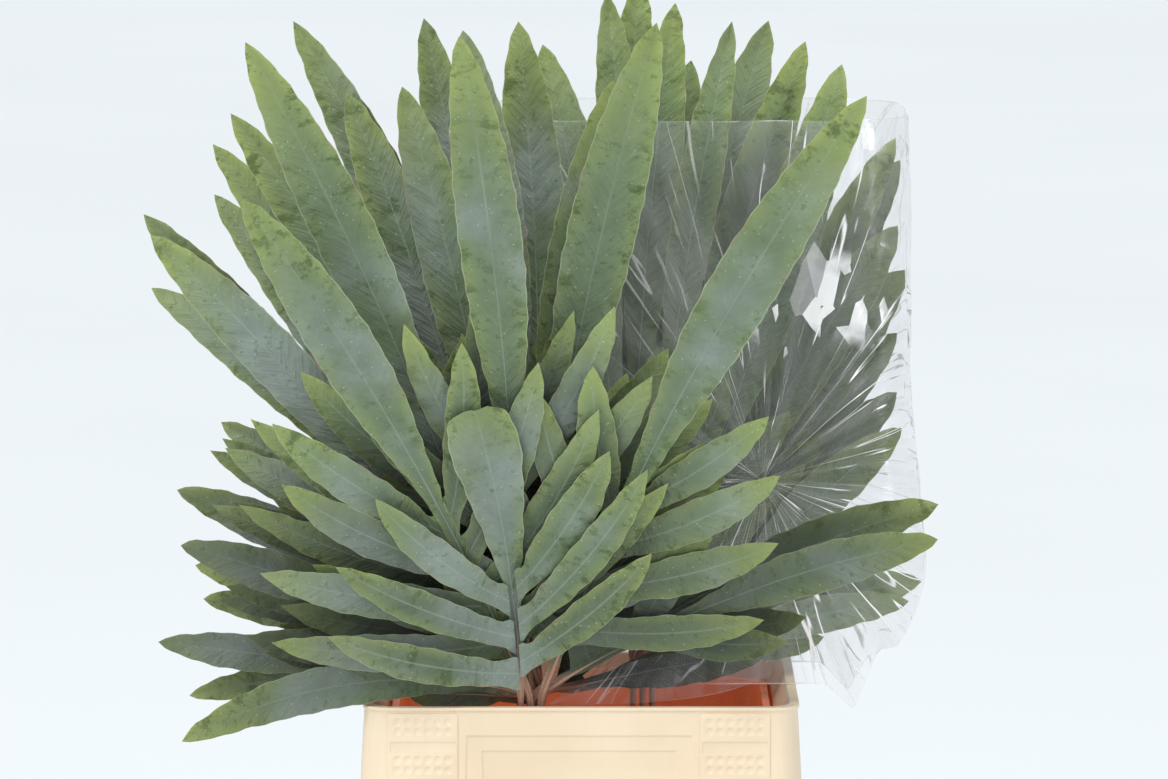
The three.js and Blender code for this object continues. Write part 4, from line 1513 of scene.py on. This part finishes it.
@dataclass
class Holder(Tub):
    """The cream holder: stepped field and dimpled plates on its front, a lip and thick sides at its mouth."""

    plate_middles: tuple[float, float] = (-113, 110)
    plate_width: float = 50
    plate_top: float = 4.5
    plate_bottom: float = 53
    plate_rise: float = 0.8
    field: tuple[float, float, float, float] = (-82, 80, 20, 226)
    inner: tuple[float, float, float, float] = (-71, 69, 31, 214)
    dimple_rows: tuple[float, ...] = (10.5, 17.5, 37.5, 45)
    dimple_columns: int = 6
    dimple_pitch: float = 7.2
    label: tuple[float, float] = (23, 34)

    def face_y(self, z: float) -> float:
        """Give the depth of the front face at a height."""
        return -self.half(z)[1]

    def press_field(self, piece: Object, box: tuple[float, float, float, float], slant: float, depth: float,
                    start: float) -> None:
        """Press a field with slanting sides into the front face.

        Args:
            piece: The body, in edit mode.
            box: Left, right, top and bottom, the last two measured down from the rim.
            slant: How far the sides run out towards the bottom.
            depth: How far it is pressed in.
            start: Depth of the face that it is pressed into.
        """
        left, right, top, bottom = box
        high, low = self.top - top, self.top - bottom
        tall = high - low

        def front(f: object) -> bool:
            """Say whether a face lies in the front at the starting depth.

            Args:
                f: The face.

            Returns:
                True where it does.
            """
            middle = f.calc_center_median()
            wanted = self.face_y(middle.z / MM) + start
            return f.normal.y < -0.9 and abs(middle.y / MM - wanted) < 0.3 and abs(middle.x) < 0.15

        def within(f: object) -> bool:
            """Say whether a face lies inside the field.

            Args:
                f: The face.

            Returns:
                True where it does.
            """
            middle = f.calc_center_median()
            x, z = middle.x / MM, middle.z / MM
            reach = slant * (high - z) / tall
            return front(f) and low < z < high and left - reach < x < right + reach

        for point, normal in (
            ((0, 0, high), (0, 0, 1)),
            ((0, 0, low), (0, 0, 1)),
            ((left, 0, high), (tall, 0, -slant)),
            ((right, 0, high), (tall, 0, slant)),
        ):
            Bench.pick(piece, "faces", front)
            Bench.cut(point, Vector(normal).normalized())
        Bench.pick(piece, "faces", within)
        bpy.ops.mesh.extrude_region_move(TRANSFORM_OT_translate={"value": (0, depth * MM, 0)})
        Bench.resize(1 - 2 * depth / (right - left), 1, 1 - 2 * depth / tall,
                     ((left + right) / 2, 0, (high + low) / 2))

    def raise_plates(self) -> Object:
        """Model the two dimpled plates.

        Returns:
            Both plates as one piece.
        """
        plates: list[Object] = []
        slope = math.atan((self.base_depth - self.top_depth) / 2 / (self.top - self.foot))
        for middle in self.plate_middles:
            high, low = self.top - self.plate_top, self.top - self.plate_bottom
            half = self.plate_width / 2
            plate = Bench.block("plate", (middle - half, -self.plate_rise, low), (middle + half, 1.2, high))
            bpy.ops.object.mode_set(mode="EDIT")
            Bench.pick(plate, "edges", lambda e: abs(e.verts[0].co.y - e.verts[1].co.y) > 5e-4)
            bpy.ops.mesh.bevel(offset=2.2 * MM, segments=4, affect="EDGES")
            # The bare label strip between the dimples stands in a shallow recess
            for level in self.label:
                Bench.pick(plate, "faces", lambda f: f.normal.y < -0.9)
                Bench.cut((0, 0, self.top - level), (0, 0, 1))
            Bench.pick(plate, "faces", lambda f: f.normal.y < -0.9
                       and abs(f.calc_center_median().z / MM - self.top + sum(self.label) / 2) < 3)
            bpy.ops.mesh.inset(thickness=1.6 * MM)
            bpy.ops.mesh.extrude_region_move(TRANSFORM_OT_translate={"value": (0, 0.45 * MM, 0)})
            Bench.clear()
            Bench.press(plate, "BOOLEAN", operation="DIFFERENCE", solver="EXACT", object=self.dimples(middle))
            bpy.data.objects.remove(bpy.data.objects["dimples"])
            Bench.press(plate, "BEVEL", width=0.35 * MM, segments=2, limit_method="ANGLE",
                        angle_limit=math.radians(40), harden_normals=False)
            plates.append(plate)
        Bench.take(plates[0])
        plates[1].select_set(True)
        bpy.ops.object.join()
        piece = bpy.context.object
        piece.name = piece.data.name = "holder_plates"
        # Lay the plates on the sloping face
        piece.rotation_euler = (-slope, 0, 0)
        bpy.context.view_layer.update()
        middle_z = self.top - (self.plate_top + self.plate_bottom) / 2
        turned = piece.matrix_world @ Vector((0, 0, middle_z * MM))
        piece.location = (0, self.face_y(middle_z) * MM - turned.y, middle_z * MM - turned.z)
        Bench.settle(piece)
        Bench.smooth(piece, 30)
        return piece

    def dimples(self, middle: float) -> Object:
        """Model the tool that presses the rows of dimples into one plate.

        Args:
            middle: Centre of the plate.

        Returns:
            One object with all the domes.
        """
        domes: list[Object] = []
        for level in self.dimple_rows:
            for column in range(self.dimple_columns):
                x = middle + (column - (self.dimple_columns - 1) / 2) * self.dimple_pitch
                Bench.clear()
                bpy.ops.mesh.primitive_uv_sphere_add(
                    segments=20, ring_count=14, radius=5.9 * MM,
                    location=(x * MM, (-self.plate_rise - 5.0) * MM, (self.top - level) * MM),
                )
                domes.append(bpy.context.object)
        Bench.take(domes[0])
        for dome in domes:
            dome.select_set(True)
        bpy.ops.object.join()
        tool = bpy.context.object
        tool.name = "dimples"
        Bench.settle(tool)
        return tool

    def make(self, finish: Material) -> None:
        """Build and dress the holder.

        Args:
            finish: Its material.
        """
        piece = self.body()
        self.press_field(piece, self.field, slant=5, depth=1.0, start=0)
        self.press_field(piece, self.inner, slant=-5, depth=0.9, start=1.0)
        self.hollow(piece, lip_in=2.2, flange=281, drop=22)
        self.soften(piece, 0.55)
        dress(piece, finish, "holder_plastic", "holder")
        dress(self.raise_plates(), finish, "holder_plastic")


@dataclass
class Bucket(Tub):
    """The terracotta bucket that stands in the holder."""

    def make(self, finish: Material) -> None:
        """Build and dress the bucket.

        Args:
            finish: Its material.
        """
        piece = self.body()
        self.hollow(piece)
        self.soften(piece, 0.8)
        dress(piece, finish, "bucket_plastic", "bucket")


@dataclass
class Sleeve:
    """The clear film round the rear bunch: a crinkled sheet from its hem to its open top."""

    levels: tuple[tuple[float, float, float, float, float], ...] = (
        (0, -34, 212, -26, 68),
        (24, -42, 234, -22, 80),
        (65, -52, 252, -18, 97),
        (130, -62, 250, -14, 118),
        (195, -66, 243, -10, 137),
        (270, -68, 242, -6, 160),
        (345, -70, 242, -2, 182),
        (409, -70, 239, 2, 198),
    )
    hem_line: tuple[tuple[float, float], ...] = ((-60, -10), (60, 0.6), (178, 0.6), (198, -20), (262, 116))
    hem_rise: float = 24
    squareness: float = 4.5
    around: int = 230
    rows: int = 84
    thickness: float = 0.2

    def hem(self, x: float) -> float:
        """Give the height of the hem over the rim at a place across."""
        return float(np.interp(x, *zip(*self.hem_line)))

    def outline(self) -> np.ndarray:
        """Give evenly spaced points of the rounded outline.

        Returns:
            Places across and in depth, from -1 to 1.
        """
        angle = np.linspace(0, 2 * math.pi, 4001)
        power = 2 / self.squareness
        x = np.sign(np.cos(angle)) * np.abs(np.cos(angle)) ** power
        y = np.sign(np.sin(angle)) * np.abs(np.sin(angle)) ** power
        length = np.concatenate([[0], np.cumsum(np.hypot(np.diff(x) * 1.6, np.diff(y)))])
        at = np.linspace(0, length[-1], self.around, endpoint=False)
        return np.stack([np.interp(at, length, x), np.interp(at, length, y)], 1)

    @staticmethod
    def crinkle(x: float, y: float, z: float) -> float:
        """Crumple the film with long pleats and sharp creases.

        Args:
            x: Place across.
            y: Depth.
            z: Height.

        Returns:
            How far the film stands out there.
        """
        tall = Vector((x / 46, y / 46, z / 130))
        pleat = noise.noise(tall * 1.2)
        near = noise.voronoi(Vector((x / 30, y / 30, z / 62)))[0]
        small = noise.voronoi(Vector((x / 13 + 9, y / 13, z / 24)))[0]
        return 1.7 * pleat + 2.6 * (near[1] - near[0]) - 1.0 + 0.8 * (small[1] - small[0])

    def make(self, finish: Material) -> None:
        """Build and dress the sleeve.

        Args:
            finish: Its material.
        """
        table = np.array(self.levels, float)
        top = table[-1, 0]
        ups = np.concatenate([np.linspace(0, self.hem_rise, 6)[:-1],
                              np.linspace(self.hem_rise, top, self.rows - 5)])
        shapes = flow(table[:, 0], table[:, 1:], ups)
        ring = self.outline()
        points: list[tuple[float, float, float]] = []
        for up, (left, right, front, rear) in zip(ups, shapes):
            for x, y in ring:
                place_x = (left + right) / 2 + x * (right - left) / 2
                place_y = (front + rear) / 2 + y * (rear - front) / 2
                z = RIM + up + self.hem(place_x) * max(0.0, 1 - up / self.hem_rise)
                if up > top - 9:
                    z += 1.5 * noise.noise(Vector((place_x / 40, place_y / 40, 3)))
                out = Vector([math.copysign(abs(c) ** 3.5, c) for c in (x, y)] + [0]).normalized()
                proud = self.crinkle(place_x, place_y, z) * limit(up / 30, 0.12, 1)
                points.append(((place_x + out.x * proud) * MM, (place_y + out.y * proud) * MM, z * MM))
        faces = []
        for row in range(len(ups) - 1):
            for i in range(self.around):
                j = (i + 1) % self.around
                a, b = row * self.around + i, row * self.around + j
                faces.append((a, b, b + self.around, a + self.around))
        piece = Bench.lay("sleeve_film", points, faces)
        last = (len(ups) - 1) * self.around
        # The hem rows carry the film's painted edge highlight
        Bench.mark(piece, "hem", [float(i < self.around or i >= last) for i in range(len(points))])
        Bench.press(piece, "SOLIDIFY", thickness=self.thickness * MM, offset=-1)
        Bench.smooth(piece, 24)
        dress(piece, finish, "film", "sleeve")


@dataclass
class Fold:
    """The film's slack front corner: a loose fold that hangs over the bucket, before the lowest leaf."""

    low: tuple[tuple[float, float, float], ...] = (
        (-23, -82, 265), (20, -86, 267), (60, -88, 269.5), (100, -86, 275), (136, -78, 286),
    )
    high: tuple[tuple[float, float, float], ...] = (
        (-22, -76, 268), (20, -78, 291), (60, -78, 302), (104, -74, 309), (142, -66, 311),
    )
    across: int = 96
    up: int = 26
    thickness: float = 0.2

    def make(self, finish: Material) -> None:
        """Build and dress the fold.

        Args:
            finish: Its material.
        """
        knots = np.linspace(0, 1, len(self.low))
        places = np.linspace(0, 1, self.across)
        low, high = (flow(knots, np.array(edge, float), places) for edge in (self.low, self.high))
        points, hems = [], []
        for row, t in enumerate(np.linspace(0, 1, self.up)):
            for start, end in zip(low, high):
                x, y, z = start * (1 - t) + end * t
                slack = 3.2 * math.sin(math.pi * t) + 1.6 * noise.noise(Vector((x / 60 - z / 26, t * 1.5, 4)))
                points.append((x * MM, (y - slack) * MM, z * MM))
                hems.append(float(row == 0))
        n = self.across
        faces = [(r * n + i, r * n + i + 1, (r + 1) * n + i + 1, (r + 1) * n + i)
                 for r in range(self.up - 1) for i in range(n - 1)]
        piece = Bench.lay("film_fold", points, faces)
        # The lowest row is the hem, with the film's painted edge highlight
        Bench.mark(piece, "hem", hems)
        Bench.press(piece, "SOLIDIFY", thickness=self.thickness * MM, offset=-1)
        Bench.smooth(piece, 40)
        dress(piece, finish, "film")


@dataclass
class Studio:
    """Floor, camera and lights."""

    eye: tuple[float, float, float] = (2.1, -4677.5, 1100.0)
    tilt: float = 7.51
    lens: float = 200.0
    sensor: float = 36.0

    def floor(self, finish: Material) -> None:
        """Lay the floor.

        Args:
            finish: Its material.
        """
        Bench.clear()
        bpy.ops.mesh.primitive_grid_add(x_subdivisions=8, y_subdivisions=8, size=60, location=(0, 6, 0))
        floor = bpy.context.object
        floor.name = floor.data.name = "floor"
        Bench.settle(floor)
        floor.data.materials.append(finish)

    def camera(self) -> None:
        """Set up the camera."""
        data = bpy.data.cameras.new("camera")
        data.lens, data.sensor_width, data.sensor_fit = self.lens, self.sensor, "HORIZONTAL"
        data.clip_start, data.clip_end = 0.1, 200
        camera = bpy.data.objects.new("camera", data)
        camera.location = [c * MM for c in self.eye]
        camera.rotation_euler = (math.radians(90 - self.tilt), 0, 0)
        bpy.context.scene.collection.objects.link(camera)
        bpy.context.scene.camera = camera

    def softbox(self, name: str, place: Sequence[float], aim: Sequence[float], size: tuple[float, float],
                power: float, colour: tuple[float, float, float] = (1, 1, 1)) -> None:
        """Hang a softbox.

        Args:
            name: Its name.
            place: Where it hangs, in metres.
            aim: Where it points.
            size: Width and height.
            power: Watts.
            colour: Colour of its light.
        """
        data = bpy.data.lights.new(name, "AREA")
        data.shape, data.size, data.size_y = "RECTANGLE", size[0], size[1]
        data.energy, data.color = power, colour
        lamp = bpy.data.objects.new(name, data)
        lamp.location = place
        lamp.rotation_euler = (Vector(aim) - Vector(place)).to_track_quat("-Z", "Y").to_euler()
        bpy.context.scene.collection.objects.link(lamp)

    def lights(self) -> None:
        """Set up the even sky, the broad sun and the softboxes."""
        scene = bpy.context.scene
        scene.view_settings.view_transform = "Standard"
        world = bpy.data.worlds.new("studio")
        world.use_nodes = True
        background = world.node_tree.nodes["Background"]
        background.inputs[0].default_value = (0.93, 0.97, 1.0, 1)
        background.inputs[1].default_value = 0.44
        scene.world = world
        sun = bpy.data.lights.new("key", "SUN")
        sun.energy, sun.angle, sun.color = 2.1, math.radians(28), (1.0, 0.985, 0.96)
        lamp = bpy.data.objects.new("key", sun)
        lamp.rotation_euler = Vector((0.35, 0.42, -1.0)).to_track_quat("-Z", "Y").to_euler()
        scene.collection.objects.link(lamp)
        self.softbox("left_softbox", (-1.9, -2.2, 1.9), (0, 0, 0.45), (0.9, 1.4), 18)
        self.softbox("right_softbox", (2.1, -1.9, 1.3), (0.1, 0, 0.5), (0.35, 1.6), 14)

    def make(self) -> None:
        """Build the studio."""
        self.floor(FloorFinish("pale_floor").make())
        self.camera()
        self.lights()


def main() -> None:
    """Build every piece in order."""
    logging.basicConfig(level=logging.INFO, format="%(name)s: %(message)s")
    Studio().make()
    cream = PlasticFinish("cream_plastic", (240, 220, 192), (233, 211, 181)).make()
    # The terracotta gets a faint painted glow to lighten the shaded inside of the bucket
    terracotta = PlasticFinish("terracotta_plastic", (238, 128, 80), (226, 108, 62), 0.3,
                               stain=(200, 92, 52), painted_glow=0.12).make()
    Holder("holder_body", base_width=340, base_depth=269, top_width=310, top_depth=235, foot=0, top=RIM,
           wall=3.4, floor=4, corner=17, lip=1.3, lip_height=2.4).make(cream)
    Bucket("bucket_body", base_width=240, base_depth=182, top_width=270, top_depth=214, foot=4.3, top=252,
           wall=2.4, floor=3, corner=22, lip=3.2, lip_height=4).make(terracotta)
    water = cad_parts["water"]
    water.data.materials.clear()
    water.data.materials.append(WaterFinish("bucket_water").make())
    for bunch, leaf in (
        (FRONT, LeafFinish("glaucous_blade")),
        (SLEEVED, LeafFinish("sleeved_blade", bloom=(134, 150, 128), green=(110, 132, 98))),
    ):
        finish = leaf.make()
        for order in range(len(bunch.fronds)):
            Frond(bunch, order).make(finish)
    clear = FilmFinish("clear_film").make()
    Sleeve().make(clear)
    Fold().make(clear)


if __name__ == "__main__":
    main()
